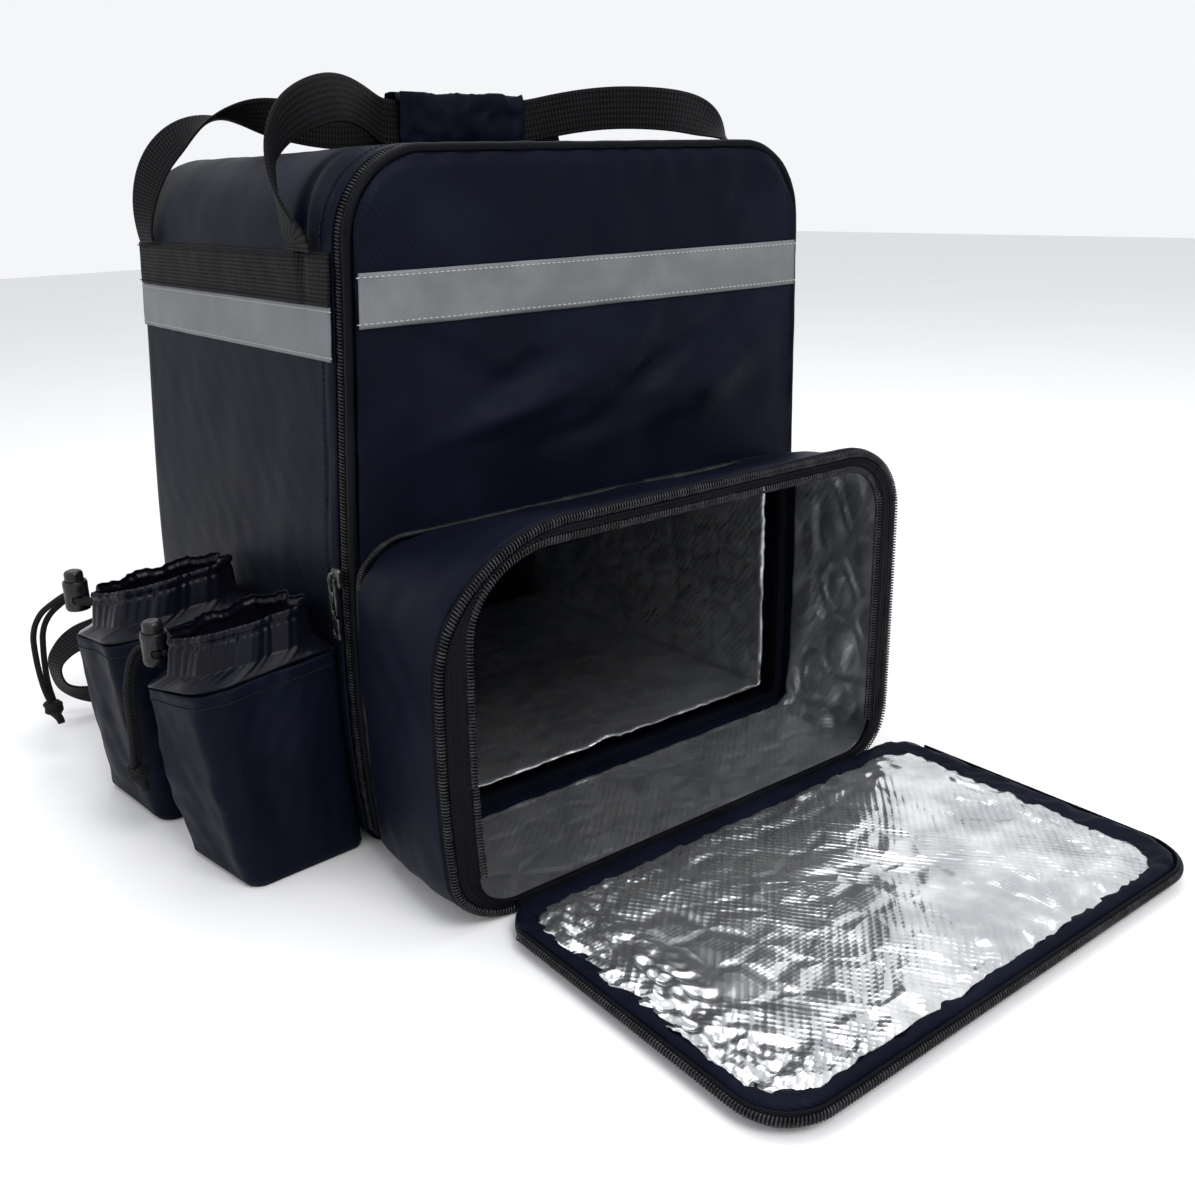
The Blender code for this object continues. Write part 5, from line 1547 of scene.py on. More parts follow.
@dataclass
class Trim:
    """The reflective tapes and the ribbed bands above them, with their stitches."""

    shape: BagShape = BAG
    tape_width: float = 0.029
    tape_wall: float = 0.0008
    band_width: float = 0.028
    band_wall: float = 0.0018
    front_share: float = 0.7696
    side_share: float = 0.7255

    def side_points(self, side: Side, low: float, width: float, lift: float) -> Array:
        """A strip's grid on one side of the body, over its cloth's own relief.

        Args:
            side: which side.
            low: the strip's lower edge.
            width: its width.
            lift: its distance from the cloth.

        Returns:
            rows from front to back, columns up the strip.
        """
        y = np.linspace(self.shape.shell_front, self.shape.shell_back, 110)
        z = np.linspace(low, low + width, 14)
        flat = np.stack(np.broadcast_arrays(side.value * self.shape.half, y[:, None], z), axis=-1)
        relief = self.shape.cloth_relief(flat) + lift
        flat[..., 0] += side.value * relief
        return self.shape.settled(flat)

    def build(self) -> None:
        """Builds and dresses the tapes, bands and stitches."""
        for side in Side:
            self.build_side(side)
        self.build_front()

    def build_side(self, side: Side) -> None:
        """The tape and the band of one side.

        Args:
            side: which side.
        """
        low = self.side_share * self.shape.height
        inside = (0, 0, low)
        points = self.side_points(side, low, self.tape_width, SEWN_GAP)
        rows = points[:, :, 1]
        loose = np.sin(math.pi * np.linspace(0, 1, points.shape[1]))
        pleats = 0.00045 * np.abs(np.sin(rows * 71 + 0.8 * np.sin(rows * 40))) ** 3 * loose
        points[..., 0] += side.value * pleats
        tape = walled(surface(f"{side.word}_side_tape", outward(points, inside, False)), self.tape_wall, 1)
        dressed(tape, Finish.TAPE, [f"{side.word}_reflective_strip"])
        up = low + self.tape_width + GAP
        points = self.side_points(side, up, self.band_width, SEWN_GAP)
        band = self.turned(f"{side.word}_side_band", outward(points, inside, False), self.band_wall)
        dressed(band, Finish.WEBBING, [f"{side.word}_side_webbing"])
        self.build_side_stitches(side, low, up)

    @staticmethod
    def turned(name: str, points: Array, wall: float) -> bpy.types.Object:
        """A band whose measure along its length runs over the columns, so that its ribs cross it.

        Args:
            name: the piece's name.
            points: its grid.
            wall: its thickness.

        Returns:
            the object.
        """
        piece = surface(name, points)
        layer = piece.data.uv_layers["measure"].data
        measure = np.empty(2 * len(layer), np.float32)
        layer.foreach_get("uv", measure)
        layer.foreach_set("uv", np.ascontiguousarray(measure.reshape(-1, 2)[:, ::-1]).ravel())
        return walled(piece, wall, 1)

    def build_side_stitches(self, side: Side, low: float, up: float) -> None:
        """Rows of stitches along the edges of a side's tape and band.

        Args:
            side: which side.
            low: the tape's lower edge.
            up: the band's lower edge.
        """
        normal = np.array((float(side.value), 0.0, 0.0))
        lift = SEWN_GAP + self.tape_wall + 0.0001
        for word, z in (("low", low + 0.0022), ("high", low + self.tape_width - 0.0022)):
            path = self.side_points(side, z, 0.001, lift)[:, 0]
            dressed(stitches(f"{side.word}_tape_{word}_seam", path, normal), Finish.THREAD)
        lift = SEWN_GAP + self.band_wall + 0.0001
        for word, z in (("low", up + 0.002), ("high", up + self.band_width - 0.002)):
            path = self.side_points(side, z, 0.001, lift)[:, 0]
            dressed(stitches(f"{side.word}_band_{word}_seam", path, normal), Finish.DARK_THREAD)

    def front_points(self, z: Array, columns: int, lift: float) -> Array:
        """A grid across the front panel, over its relief.

        Args:
            z: the rows' heights.
            columns: how many places there are across.
            lift: its distance from the cloth.

        Returns:
            the grid.
        """
        half = self.shape.half - 2 * PIPING_RADIUS - 0.0012
        x = np.linspace(-half, half, columns)
        flat = np.stack(np.broadcast_arrays(x, z[:, None]), axis=-1)
        relief = self.shape.front_relief(flat[..., 0], flat[..., 1])
        return self.shape.at_depth(flat, self.shape.front - relief - lift)

    def build_front(self) -> None:
        """The tape across the front, with a row of pale stitches along each edge."""
        low = self.front_share * self.shape.height
        z = np.linspace(low, low + self.tape_width, 14)
        points = outward(self.front_points(z, 170, 0.0008), (0, 1, low), False)
        tape = walled(surface("front_tape", points), self.tape_wall, 1)
        dressed(tape, Finish.TAPE, ["front_reflective_strip"])
        for word, height in (("low", low + 0.0024), ("high", low + self.tape_width - 0.0024)):
            path = self.front_points(np.array((height,)), 170, 0.0008 + self.tape_wall + 0.0001)[0]
            dressed(stitches(f"front_tape_{word}_seam", path, FORWARD), Finish.THREAD)


@dataclass
class CarryHandles:
    """Two webbing handles over the top and the wrap that holds them together."""

    shape: BagShape = BAG
    width: float = 0.028
    wall: float = 0.0018
    rise: float = 0.036
    foot: float = 0.7255 * 0.408 + 0.029 + 0.028 + GAP + SEWN_GAP
    front: tuple[tuple[float, ...], ...] = (
        (-1.010, -0.708, -1.53, 0.00, -1.00, 0.00), (-1.024, -0.678, -1.16, -0.14, -0.98, 0.00),
        (-1.030, -0.642, -0.80, -0.36, -0.93, 0.00), (-1.026, -0.606, -0.42, -0.50, -0.86, 0.06),
        (-1.010, -0.574, -0.04, -0.54, -0.80, 0.20), (-0.958, -0.530, 0.26, -0.50, -0.62, 0.55),
        (-0.860, -0.450, 0.54, -0.34, -0.38, 0.85), (-0.710, -0.345, 0.76, -0.10, -0.05, 0.98),
        (-0.560, -0.230, 0.84, 0.15, 0.25, 0.92), (-0.420, -0.115, 0.70, 0.18, 0.20, 0.95),
        (-0.320, -0.034, 0.52, 0.05, 0.00, 1.00), (-0.250, -0.026, 0.47, 0.00, 0.00, 1.00),
        (0.050, -0.026, 0.46, 0.00, 0.00, 1.00), (0.345, -0.026, 0.47, 0.00, 0.00, 1.00),
        (0.440, -0.090, 0.58, 0.00, 0.08, 1.00), (0.600, -0.250, 0.70, 0.00, 0.05, 1.00),
        (0.770, -0.390, 0.66, 0.00, 0.05, 1.00), (0.900, -0.490, 0.54, 0.30, 0.10, 1.00),
        (0.985, -0.555, 0.26, 0.50, 0.60, 0.60), (1.045, -0.590, -0.20, 0.20, 1.00, 0.15),
        (1.056, -0.600, -0.80, 0.05, 1.00, 0.00), (1.036, -0.600, -1.53, 0.00, 1.00, 0.00),
    )
    rear: tuple[tuple[float, ...], ...] = (
        (-1.010, 0.792, -1.53, 0.00, 1.00, 0.00), (-0.998, 0.785, -0.75, -0.25, 0.97, 0.00),
        (-0.950, 0.745, -0.10, -0.40, 0.88, 0.20), (-0.870, 0.680, 0.36, -0.25, 0.85, 0.40),
        (-0.780, 0.590, 0.62, 0.25, 0.90, 0.25), (-0.690, 0.500, 0.70, 0.55, 0.75, -0.30),
        (-0.590, 0.400, 0.66, 0.30, 0.35, -0.90), (-0.490, 0.280, 0.52, 0.10, 0.10, -1.00),
        (-0.390, 0.150, 0.42, 0.00, 0.00, -1.00), (-0.320, 0.036, 0.46, 0.00, 0.00, -1.00),
        (-0.250, 0.026, 0.46, 0.00, 0.00, -1.00), (0.050, 0.026, 0.46, 0.00, 0.00, -1.00),
        (0.345, 0.026, 0.46, 0.00, 0.00, -1.00), (0.450, 0.150, 0.50, 0.00, 0.10, -1.00),
        (0.580, 0.330, 0.62, -0.15, 0.25, -1.00), (0.730, 0.480, 0.70, -0.50, 0.70, -0.50),
        (0.870, 0.620, 0.58, -0.60, 0.80, 0.00), (0.975, 0.720, 0.18, -0.30, 0.90, 0.00),
        (1.045, 0.775, -0.45, -0.10, 1.00, 0.00), (1.036, 0.792, -1.53, 0.00, 1.00, 0.00),
    )

    def foot_at(self, side: float, y: float) -> Array:
        """A handle's foot, at the outermost place of the side under its width.

        Args:
            side: the side's x.
            y: the foot's place.

        Returns:
            the foot's middle.
        """
        share = np.array((-0.6, -0.3, 0.0, 0.3, 0.6)) * self.width
        seats = self.shape.settled(np.stack(np.broadcast_arrays(side, y + share, self.foot), axis=-1))
        outermost = seats[:, 0].max() if side > 0 else seats[:, 0].min()
        return np.array((outermost, y, self.foot))

    def route(self, rows: tuple[tuple[float, ...], ...]) -> tuple[Array, Array]:
        """A handle's middle line and its across vectors, with both feet on the sides.

        Args:
            rows: x and y as shares of half the width and depth, z as shares of the rise, and across vectors.

        Returns:
            the path and the across vectors.
        """
        table = np.array(rows)
        shares = (self.shape.half, self.shape.depth / 2, self.rise)
        centres = table[:, :3] * shares + (0, 0, self.shape.height)
        side = self.shape.half + 0.0028 + self.wall / 2
        left, right = self.foot_at(-side, centres[0, 1]), self.foot_at(side, centres[-1, 1])
        lean = np.array((0.0012, 0, 0.0070))
        centres = np.vstack((left, left + lean * (-1, 1, 1), centres[1:-1], right + lean, right))
        across = np.vstack((table[:1, 3:], table[:, 3:], table[-1:, 3:]))
        line = curve_through(np.hstack((centres, across)), 260)
        reach = 14
        window = np.exp(-((np.arange(-reach, reach + 1) / 7.0) ** 2))
        before = 2 * line[0] - line[reach:0:-1]
        after = 2 * line[-1] - line[-2:-reach - 2:-1]
        padded = np.vstack((before, line, after)).T
        eased = np.stack([np.convolve(column, window / window.sum(), "valid") for column in padded], axis=-1)
        return eased[:, :3], squared(eased[:, 3:], tangents(eased[:, :3]))

    def build(self) -> None:
        """Builds and dresses the handles and the wrap."""
        for name, rows in (("front_handle", self.front), ("rear_handle", self.rear)):
            path, across = self.route(rows)
            strap = ribbon(f"{name}_strap", path, across, self.width, self.wall)
            dressed(strap, Finish.WEBBING, [name])
        self.build_wrap()

    def build_wrap(self) -> None:
        """The hook-and-loop wrap: a sheet rolled once round both handles, its loose edge standing off."""
        length, height, thickness, wall, shift = 0.100, 0.039, 0.019, 0.0024, 0.008
        middle = self.shape.height - 0.0025 + height / 2
        turns = np.linspace(math.radians(-60), math.radians(325), 120)
        along = np.linspace(-1, 1, 64)[:, None]
        flare = 1 + 0.04 * along**6 + 0.10 * smooth_step((-along - 0.55) / 0.45)
        growth = 1 + 0.34 * smooth_step((turns - math.radians(200)) / math.radians(110))
        half_y = (thickness / 2 - wall) * flare * growth
        half_z = (height / 2 - wall) * flare * (1 + (growth - 1) * 0.45)
        y = half_y * np.sign(np.sin(turns)) * np.abs(np.sin(turns)) ** 0.5
        z = middle + half_z * np.sign(np.cos(turns)) * np.abs(np.cos(turns)) ** 0.5
        x = np.broadcast_to(shift + along * length / 2, y.shape)
        points = np.stack((x, y, z), axis=-1)
        soft = 0.0011 * soft_noise(points, 0.030, 111) + 0.0006 * sharp_noise(points, 0.014, 112)
        out = unit(points * (0, 1, 1) - np.array((0, 0, middle)))
        loose = smooth_step((turns - math.radians(262)) / math.radians(63))
        lifted = smooth_step((-along - 0.35) / 0.65) * loose
        points = points + out * (soft + 0.0105 * lifted)[..., None]
        points[..., 2] = np.minimum(points[..., 2], middle + height / 2 - 0.0008)
        wrap = walled(surface("handle_wrap", outward(points, (shift, 0, middle), False)), wall - 0.0004, 1)
        wrap.modifiers["wall"].use_even_offset = False
        dressed(wrap, Finish.OXFORD, ["handle_grip"])


@dataclass
class ShoulderStraps:
    """Two padded shoulder straps on the back, their webbing and ladder locks."""

    shape: BagShape = BAG
    width: float = 0.062
    wall: float = 0.011
    reach: float = 0.052
    pad: tuple[tuple[float, ...], ...] = (
        (0.36, 0.10, 0.930), (0.37, 0.40, 0.955), (0.39, 0.72, 0.900), (0.42, 0.92, 0.760),
        (0.46, 0.98, 0.600), (0.52, 0.92, 0.450), (0.58, 0.78, 0.320),
    )
    web: tuple[tuple[float, ...], ...] = (
        (0.00, 0.68, 0.305, 1.0, 0.0, 0.0), (0.00, 0.66, 0.245, 1.0, 0.1, 0.0),
        (0.08, 0.62, 0.196, 0.8, 0.4, 0.4), (0.32, 0.57, 0.168, 0.2, 0.75, 0.62),
        (0.62, 0.52, 0.161, 0.0, 0.78, 0.62), (0.86, 0.47, 0.154, 0.0, 0.85, 0.50),
        (0.975, 0.43, 0.128, 0.1, 1.0, 0.15), (1.00, 0.39, 0.097, 0.1, 1.0, -0.10),
        (0.965, 0.34, 0.064, 0.1, 0.9, -0.45), (0.84, 0.28, 0.042, 0.0, 0.60, -0.80),
        (0.62, 0.20, 0.037, 0.0, 0.25, -0.97), (0.40, 0.035, 0.037, 0.0, 0.0, -1.0),
    )

    def placed(self, x: Array, rows: Array) -> Array:
        """Places from x in metres and rows of reach and height shares."""
        y = self.shape.depth / 2 + rows[:, 1] * self.reach
        return np.stack((x, y, rows[:, 2] * self.shape.height), axis=-1)

    def pad_path(self, side: Side, count: int) -> Array:
        """The pad's middle line on one side."""
        rows = np.array(self.pad)
        return curve_through(self.placed(side.value * rows[:, 0] * self.shape.half, rows), count)

    def pad_points(self, side: Side, slack: float) -> Array:
        """The pad's grid: a flat rounded section along its line, a quarter narrower at its low end.

        Args:
            side: which side.
            slack: how much smaller the pad starts, before it is filled.

        Returns:
            the grid.
        """
        path = self.pad_path(side, 90)
        ahead = tangents(path)
        across = np.broadcast_to((1.0, 0.0, 0.0), path.shape)
        section = flat_section(self.width - 2 * slack, self.wall - 2 * slack, 7, 18)
        return carried(path, across * self.taper(), np.cross(ahead, across), section)

    @staticmethod
    def taper() -> Array:
        """The pad's share of its width along its line: a quarter is lost towards its low end."""
        return 1 - 0.25 * smooth_step((np.linspace(0, 1, 90) - 0.7) / 0.3)[:, None]

    def build(self) -> None:
        """Builds and dresses both straps."""
        for side in Side:
            pad = solid(f"{side.word}_shoulder_pad", self.pad_points(side, 0.0012))
            Pillow().fill(pad)
            dressed(pad, Finish.OXFORD, [f"{side.word}_shoulder_strap"])
            self.build_web(side)
            self.build_binding(side)
            lock = softened(f"{side.word}_ladder_lock", f"{side.word}_adjuster")
            dressed(lock, Finish.PLASTIC, [f"{side.word}_ladder_lock"])

    def build_web(self, side: Side) -> None:
        """The webbing from the ladder lock to the base of the back.

        Args:
            side: which side.
        """
        rows = np.array(self.web)
        x = side.value * (self.pad[-1][0] * self.shape.half + rows[:, 0] * 0.170)
        table = np.hstack((self.placed(x, rows), rows[:, 3:] * (side.value, 1, 1)))
        path = curve_through(table, 150)
        strap = ribbon(f"{side.word}_strap_web", path[:, :3], path[:, 3:], 0.025, 0.0018)
        dressed(strap, Finish.WEBBING, [f"{side.word}_strap_webbing"])

    def build_binding(self, side: Side) -> None:
        """The bound edges of a pad: a flat half round cord along both of its sides.

        Args:
            side: which side.
        """
        path = self.pad_path(side, 90)[3:-3]
        ahead = tangents(path)
        across = np.broadcast_to((1.0, 0.0, 0.0), path.shape)
        taper = self.taper()[3:-3]
        for word, sign in (("inner", -1), ("outer", 1)):
            line = path + across * sign * taper * (self.width / 2 - 0.0008)
            points = carried(line, across, np.cross(ahead, across), round_section(0.0011, 10, 0.0030))
            dressed(solid(f"{side.word}_pad_{word}_binding", points), Finish.BINDING)


def baked(piece: bpy.types.Object) -> None:
    """Takes the modifiers' result as the piece's mesh.

    Args:
        piece: the piece, which loses its modifiers.
    """
    graph = bpy.context.evaluated_depsgraph_get()
    mesh = bpy.data.meshes.new_from_object(piece.evaluated_get(graph), depsgraph=graph)
    piece.modifiers.clear()
    old, piece.data = piece.data, mesh
    bpy.data.meshes.remove(old)


@dataclass(frozen=True)
class Pillow:
    """Fills a closed pad: an even net of small faces, blown up as cloth and held within a cap."""

    voxel: float = 0.0045
    pressure: float = 4.0
    cap: float = 0.004
    frames: int = 20

    def fill(self, piece: bpy.types.Object) -> None:
        """Replaces the piece's mesh by its filled form.

        Args:
            piece: the closed piece.
        """
        remesh = piece.modifiers.new("net", "REMESH")
        remesh.mode = "VOXEL"
        remesh.voxel_size = self.voxel
        baked(piece)
        before = self.places(piece)
        cloth = piece.modifiers.new("filling", "CLOTH")
        cloth.settings.use_pressure = True
        cloth.settings.uniform_pressure_force = self.pressure
        cloth.settings.effector_weights.gravity = 0
        scene = bpy.context.scene
        for number in range(1, self.frames + 1):
            scene.frame_set(number)
            piece.evaluated_get(bpy.context.evaluated_depsgraph_get())
        baked(piece)
        scene.frame_set(1)
        moved = self.places(piece) - before
        length = np.linalg.norm(moved, axis=1, keepdims=True)
        after = before + moved * np.minimum(1, self.cap / np.maximum(length, 1e-9))
        piece.data.vertices.foreach_set("co", after.astype(np.float32).ravel())
        self.measure(piece, after)

    def measure(self, piece: bpy.types.Object, points: Array) -> None:
        """Gives the new mesh its measure in metres, x across and the height along, and smooth shading.

        Args:
            piece: the filled piece.
            points: its vertices.
        """
        mesh = piece.data
        layer = mesh.uv_layers.get("measure") or mesh.uv_layers.new(name="measure")
        corner = np.empty(len(mesh.loops), np.int64)
        mesh.loops.foreach_get("vertex_index", corner)
        layer.data.foreach_set("uv", points[corner][:, (0, 2)].astype(np.float32).ravel())
        mesh.shade_smooth()

    @staticmethod
    def places(piece: bpy.types.Object) -> Array:
        """The piece's vertices.

        Args:
            piece: the piece.

        Returns:
            an (n, 3) array.
        """
        flat = np.empty(3 * len(piece.data.vertices), np.float32)
        piece.data.vertices.foreach_get("co", flat)
        return flat.reshape(-1, 3).astype(float)


def softened(node: str, name: str, edge: float = 0.0006) -> bpy.types.Object:
    """A copy of a hard node with its triangles joined and its edges rounded.

    Args:
        node: the node copied.
        name: the new piece's name.
        edge: the rounding's width.

    Returns:
        the copy.
    """
    source = bpy.data.objects[node]
    made = bpy.data.objects.new(name, source.data.copy())
    bpy.context.scene.collection.objects.link(made)
    weld = made.modifiers.new("weld", "WELD")
    weld.merge_threshold = 0.00002
    flat = made.modifiers.new("flat", "DECIMATE")
    flat.decimate_type = "DISSOLVE"
    bevel = made.modifiers.new("edge", "BEVEL")
    bevel.width = edge
    bevel.segments = 3
    bevel.limit_method = "ANGLE"
    baked(made)
    made.data.shade_smooth()
    made.data.set_sharp_from_angle(angle=math.radians(50))
    return made


@dataclass(frozen=True)
class Pocket:
    """A cup pocket: its corners as shares of half the depth, its reaches, its lock and its cords' route."""

    name: str
    outer: tuple[float, float]
    panel: tuple[float, float]
    floor: tuple[float, float]
    top: tuple[float, float]
    lock: tuple[float, float]
    route: tuple[tuple[float, ...], ...]
    shape: BagShape = BAG

    def plan(self, corner: Array, share: float) -> tuple[Array, Array, Array]:
        """Plan places at a share of the height, with the height of the top edge at each of them.

        Args:
            corner: places on the unit square, from the panel outwards and from front to rear.
            share: the share of the height.

        Returns:
            x, y and the top's height.
        """
        u, v = corner[:, 0], corner[:, 1]
        panel_y = self.panel[0] + (self.panel[1] - self.panel[0]) * v
        outer_y = self.outer[0] + (self.outer[1] - self.outer[0]) * v
        y = self.shape.depth / 2 * (panel_y + (outer_y - panel_y) * u)
        floor = self.floor[0] + (self.floor[1] - self.floor[0]) * v
        top = self.top[0] + (self.top[1] - self.top[0]) * v
        reach = 0.0965 * (floor + (top - floor) * share) * u
        behind = y - self.panel[0] * self.shape.depth / 2
        return -self.shape.half - SEWN_GAP - reach, y, 0.132 - 0.13 * behind - 0.085 * reach

    def beside(self, x: Array, y: Array, z: Array) -> Array:
        """Places that move with the body's left side."""
        flat = np.stack(np.broadcast_arrays(-self.shape.half, y, z), axis=-1)
        return np.stack((x + self.shape.settled(flat)[..., 0] + self.shape.half, y, z), axis=-1)

    @property
    def lock_place(self) -> Array:
        """The middle of the cord lock's slot."""
        x, y, height = self.plan(np.array(((1.0, 1.0),)), 1.0)
        return self.beside(x, y, height)[0] + 0.020 * np.array((self.lock[0], 0, self.lock[1]))


FRONT_ROUTE = (
    (0.0000, -0.0104, 0.0000, -0.58, 0.00, 0.00), (0.0000, 0.0000, 0.0000, -0.58, 0.00, 0.00),
    (-0.0004, 0.0100, -0.0002, -0.58, 0.00, 0.00), (-0.0035, 0.0152, -0.0024, -0.56, 0.00, 0.14),
    (-0.0088, 0.0168, -0.0090, -0.50, -0.20, 0.22), (-0.0126, 0.0164, -0.0190, -0.50, -0.32, 0.00),
    (-0.0150, 0.0158, -0.0300, -0.46, -0.38, 0.00), (-0.0158, 0.0150, -0.0500, -0.45, -0.38, 0.00),
    (-0.0178, 0.0145, -0.0740, -0.42, -0.40, 0.00),
)
REAR_ROUTE = (
    (0.0078, -0.0178, -0.0004, -0.38, -0.44, 0.00), (0.0040, -0.0146, -0.0002, -0.40, -0.42, 0.00),
    (0.0010, -0.0116, 0.0000, -0.50, -0.29, 0.00), (0.0000, -0.0070, 0.0000, -0.58, 0.00, 0.00),
    (0.0000, 0.0000, 0.0000, -0.58, 0.00, 0.00), (-0.0004, 0.0104, -0.0003, -0.58, 0.00, 0.00),
    (-0.0034, 0.0200, -0.0046, -0.62, 0.00, 0.10), (-0.0141, 0.0330, -0.0170, -0.72, -0.20, 0.30),
    (-0.0188, 0.0378, -0.0280, -0.80, -0.20, 0.16), (-0.0205, 0.0400, -0.0390, -0.78, -0.20, 0.00),
    (-0.0207, 0.0425, -0.0645, -0.55, -0.32, 0.00), (-0.0180, 0.0440, -0.0835, -0.38, -0.45, 0.00),
)
POCKETS = (
    Pocket(
        "front", (-0.917, -0.474), (-0.886, -0.345), (0.782, 0.896), (0.88, 1.03), (0.815, 0.94), FRONT_ROUTE,
    ),
    Pocket(
        "rear", (-0.211, 0.321), (-0.185, 0.295), (0.915, 0.998), (1.0, 1.03), (0.47, 1.14), REAR_ROUTE,
    ),
)


def unit_loop(outer: float, panel: float, count: int) -> Array:
    """Even points round a unit square with rounded corners, from its outer front corner.

    Args:
        outer: the outer corners' radius.
        panel: the radius beside the panel.
        count: how many points.

    Returns:
        an (n, 2) loop.
    """
    corners = ((1, 0, outer), (1, 1, outer), (0, 1, panel), (0, 0, panel))
    parts = []
    for index, (u, v, radius) in enumerate(corners):
        centre = np.array((u + radius * (1 - 2 * u), v + radius * (1 - 2 * v)))
        turns = math.pi / 2 * (index - 1) + np.linspace(0, math.pi / 2, 14)
        parts.append(centre + radius * np.stack((np.cos(turns), np.sin(turns)), axis=-1))
    loop = np.concatenate(parts)
    run = arc(np.concatenate((loop, loop[:1])))
    marks = np.arange(count) / count * run[-1]
    return np.stack([np.interp(marks, run, np.append(axis, axis[0])) for axis in loop.T], axis=-1)


@dataclass
class CupPockets:
    """The two cup pockets on the left side, their gathered collars, cord locks and drawcords."""

    pockets: tuple[Pocket, ...] = POCKETS

    def build_cords(self) -> None:
        """The drawcords, two through each lock, with the knot that both end in."""
        for pocket in self.pockets:
            rows = curve_through(np.array(pocket.route), len(pocket.route) + 5)
            middle = pocket.lock_place + rows[:, :3]
            parted = rows[:, 3:] * CORD_DIAMETER
            knot = self.build_knot(pocket, middle[-1] - np.array((0, 0, CORD_DIAMETER * 0.10 + GAP)))
            for which, sign in (("outer", 1), ("inner", -1)):
                path = spaced(curve_through(middle + sign * parted, 120), 0.0012)
                ahead = tangents(path)
                side = unit(np.cross(ahead, np.broadcast_to((1.0, 0.0, 0.0), path.shape)))
                points = carried(path, side, np.cross(ahead, side), round_section(CORD_DIAMETER / 2, 14))
                piece = solid(f"{pocket.name}_drawcord_{which}", points)
                dressed(piece, Finish.CORD, [f"{pocket.name}_cord_{which}"])

    def build_knot(self, pocket: Pocket, top: Array) -> bpy.types.Object:
        """The stopper knot: a lumpy ball of three strands, with its short tails below.

        Args:
            pocket: whose cords it ends.
            top: where the cords enter it.

        Returns:
            the knot.
        """
        turns = np.arange(48) * 2 * math.pi / 48
        fall = np.linspace(0, 1.75, 60)[:, None]
        share = np.interp(fall, (0, 0.20, 0.70, 0.98, 1.35, 1.75), (0.80, 1.04, 0.98, 0.60, 0.50, 0.42))
        crossing = 0.05 * np.abs(np.sin(2 * turns - 7 * fall)) * (fall < 1)
        strand = 0.10 * np.sin(3 * turns + 5 * fall) + crossing
        radius = 0.006 * share * (1 + strand - 0.03)
        x = top[0] + 0.012 * 0.28 * smooth_step((fall - 0.4) / 1.4) + radius * np.cos(turns)
        y = top[1] + radius * np.sin(turns)
        z = np.broadcast_to(top[2] - 0.0096 * fall, x.shape)
        knot = solid(f"{pocket.name}_drawcord_knot", np.stack((x, y, z), axis=-1))
        return dressed(knot, Finish.CORD, [f"{pocket.name}_knot"])

    def build(self) -> None:
        """Builds and dresses the pouches, collars and locks."""
        for pocket in self.pockets:
            self.build_pouch(pocket)
            self.build_collar(pocket)
            CordLock(pocket).build()

    def build_pouch(self, pocket: Pocket) -> None:
        """The pouch: a floor, and walls that lean out to the top edge and give in soft vertical waves.

        Args:
            pocket: which pocket.
        """
        table = np.array((
            (0.0, 0.12, 0.55), (0.0, 0.12, 0.955), (0.03, 0.13, 1), (0.50, 0.17, 1), (1.0, 0.22, 1),
        ))
        steps = ((0.0, 1.0, 8), (1, 2, 6))
        marks = np.concatenate((*(np.linspace(*step)[:-1] for step in steps), np.linspace(2, 4, 52)))
        rows = np.stack([np.interp(marks, np.arange(5), table[:, i]) for i in range(3)], axis=-1)
        loops = []
        for share, radius, scale in rows:
            corner = 0.5 + (unit_loop(radius, 0.07, 200) - 0.5) * scale
            x, y, height = pocket.plan(corner, share)
            centre = np.array((x.mean(), y.mean()))
            away = np.stack((x, y), axis=-1) - centre
            place = np.stack((x, y, np.full(len(x), share * 0.13)), axis=-1)
            free = smooth_step((corner[:, 0] - 0.06) / 0.2)
            soft = 0.0017 * soft_noise(place * (1, 1, 0.40), 0.044, 131)
            soft = (soft + 0.0004 * soft_noise(place, 0.016, 132) - 0.0006) * free * smooth_step(share * 6)
            x, y = (centre + away + unit(away) * soft[:, None]).T
            loops.append(pocket.beside(x, y, GAP + (height - GAP) * share))
        points = np.stack(loops)
        core = points[:1].mean(axis=1, keepdims=True)
        closed = np.concatenate((core + (points[:1] - core) * 0.02, points))
        points = outward(closed, closed.mean(axis=(0, 1)))
        pouch = walled(surface(f"{pocket.name}_pouch", points, around=True, first=True), 0.002)
        dressed(pouch, Finish.OXFORD, [f"{pocket.name}_cup_pocket"])
        line = closed[-4]
        out = unit((line - line.mean(axis=0)) * (1, 1, 0))
        line, out = np.concatenate((line, line[:1])), np.concatenate((out, out[:1]))
        row = stitches(f"{pocket.name}_pouch_seam", line + out * 0.0002, out, 0.0032, 0.0003)
        dressed(row, Finish.DARK_THREAD)

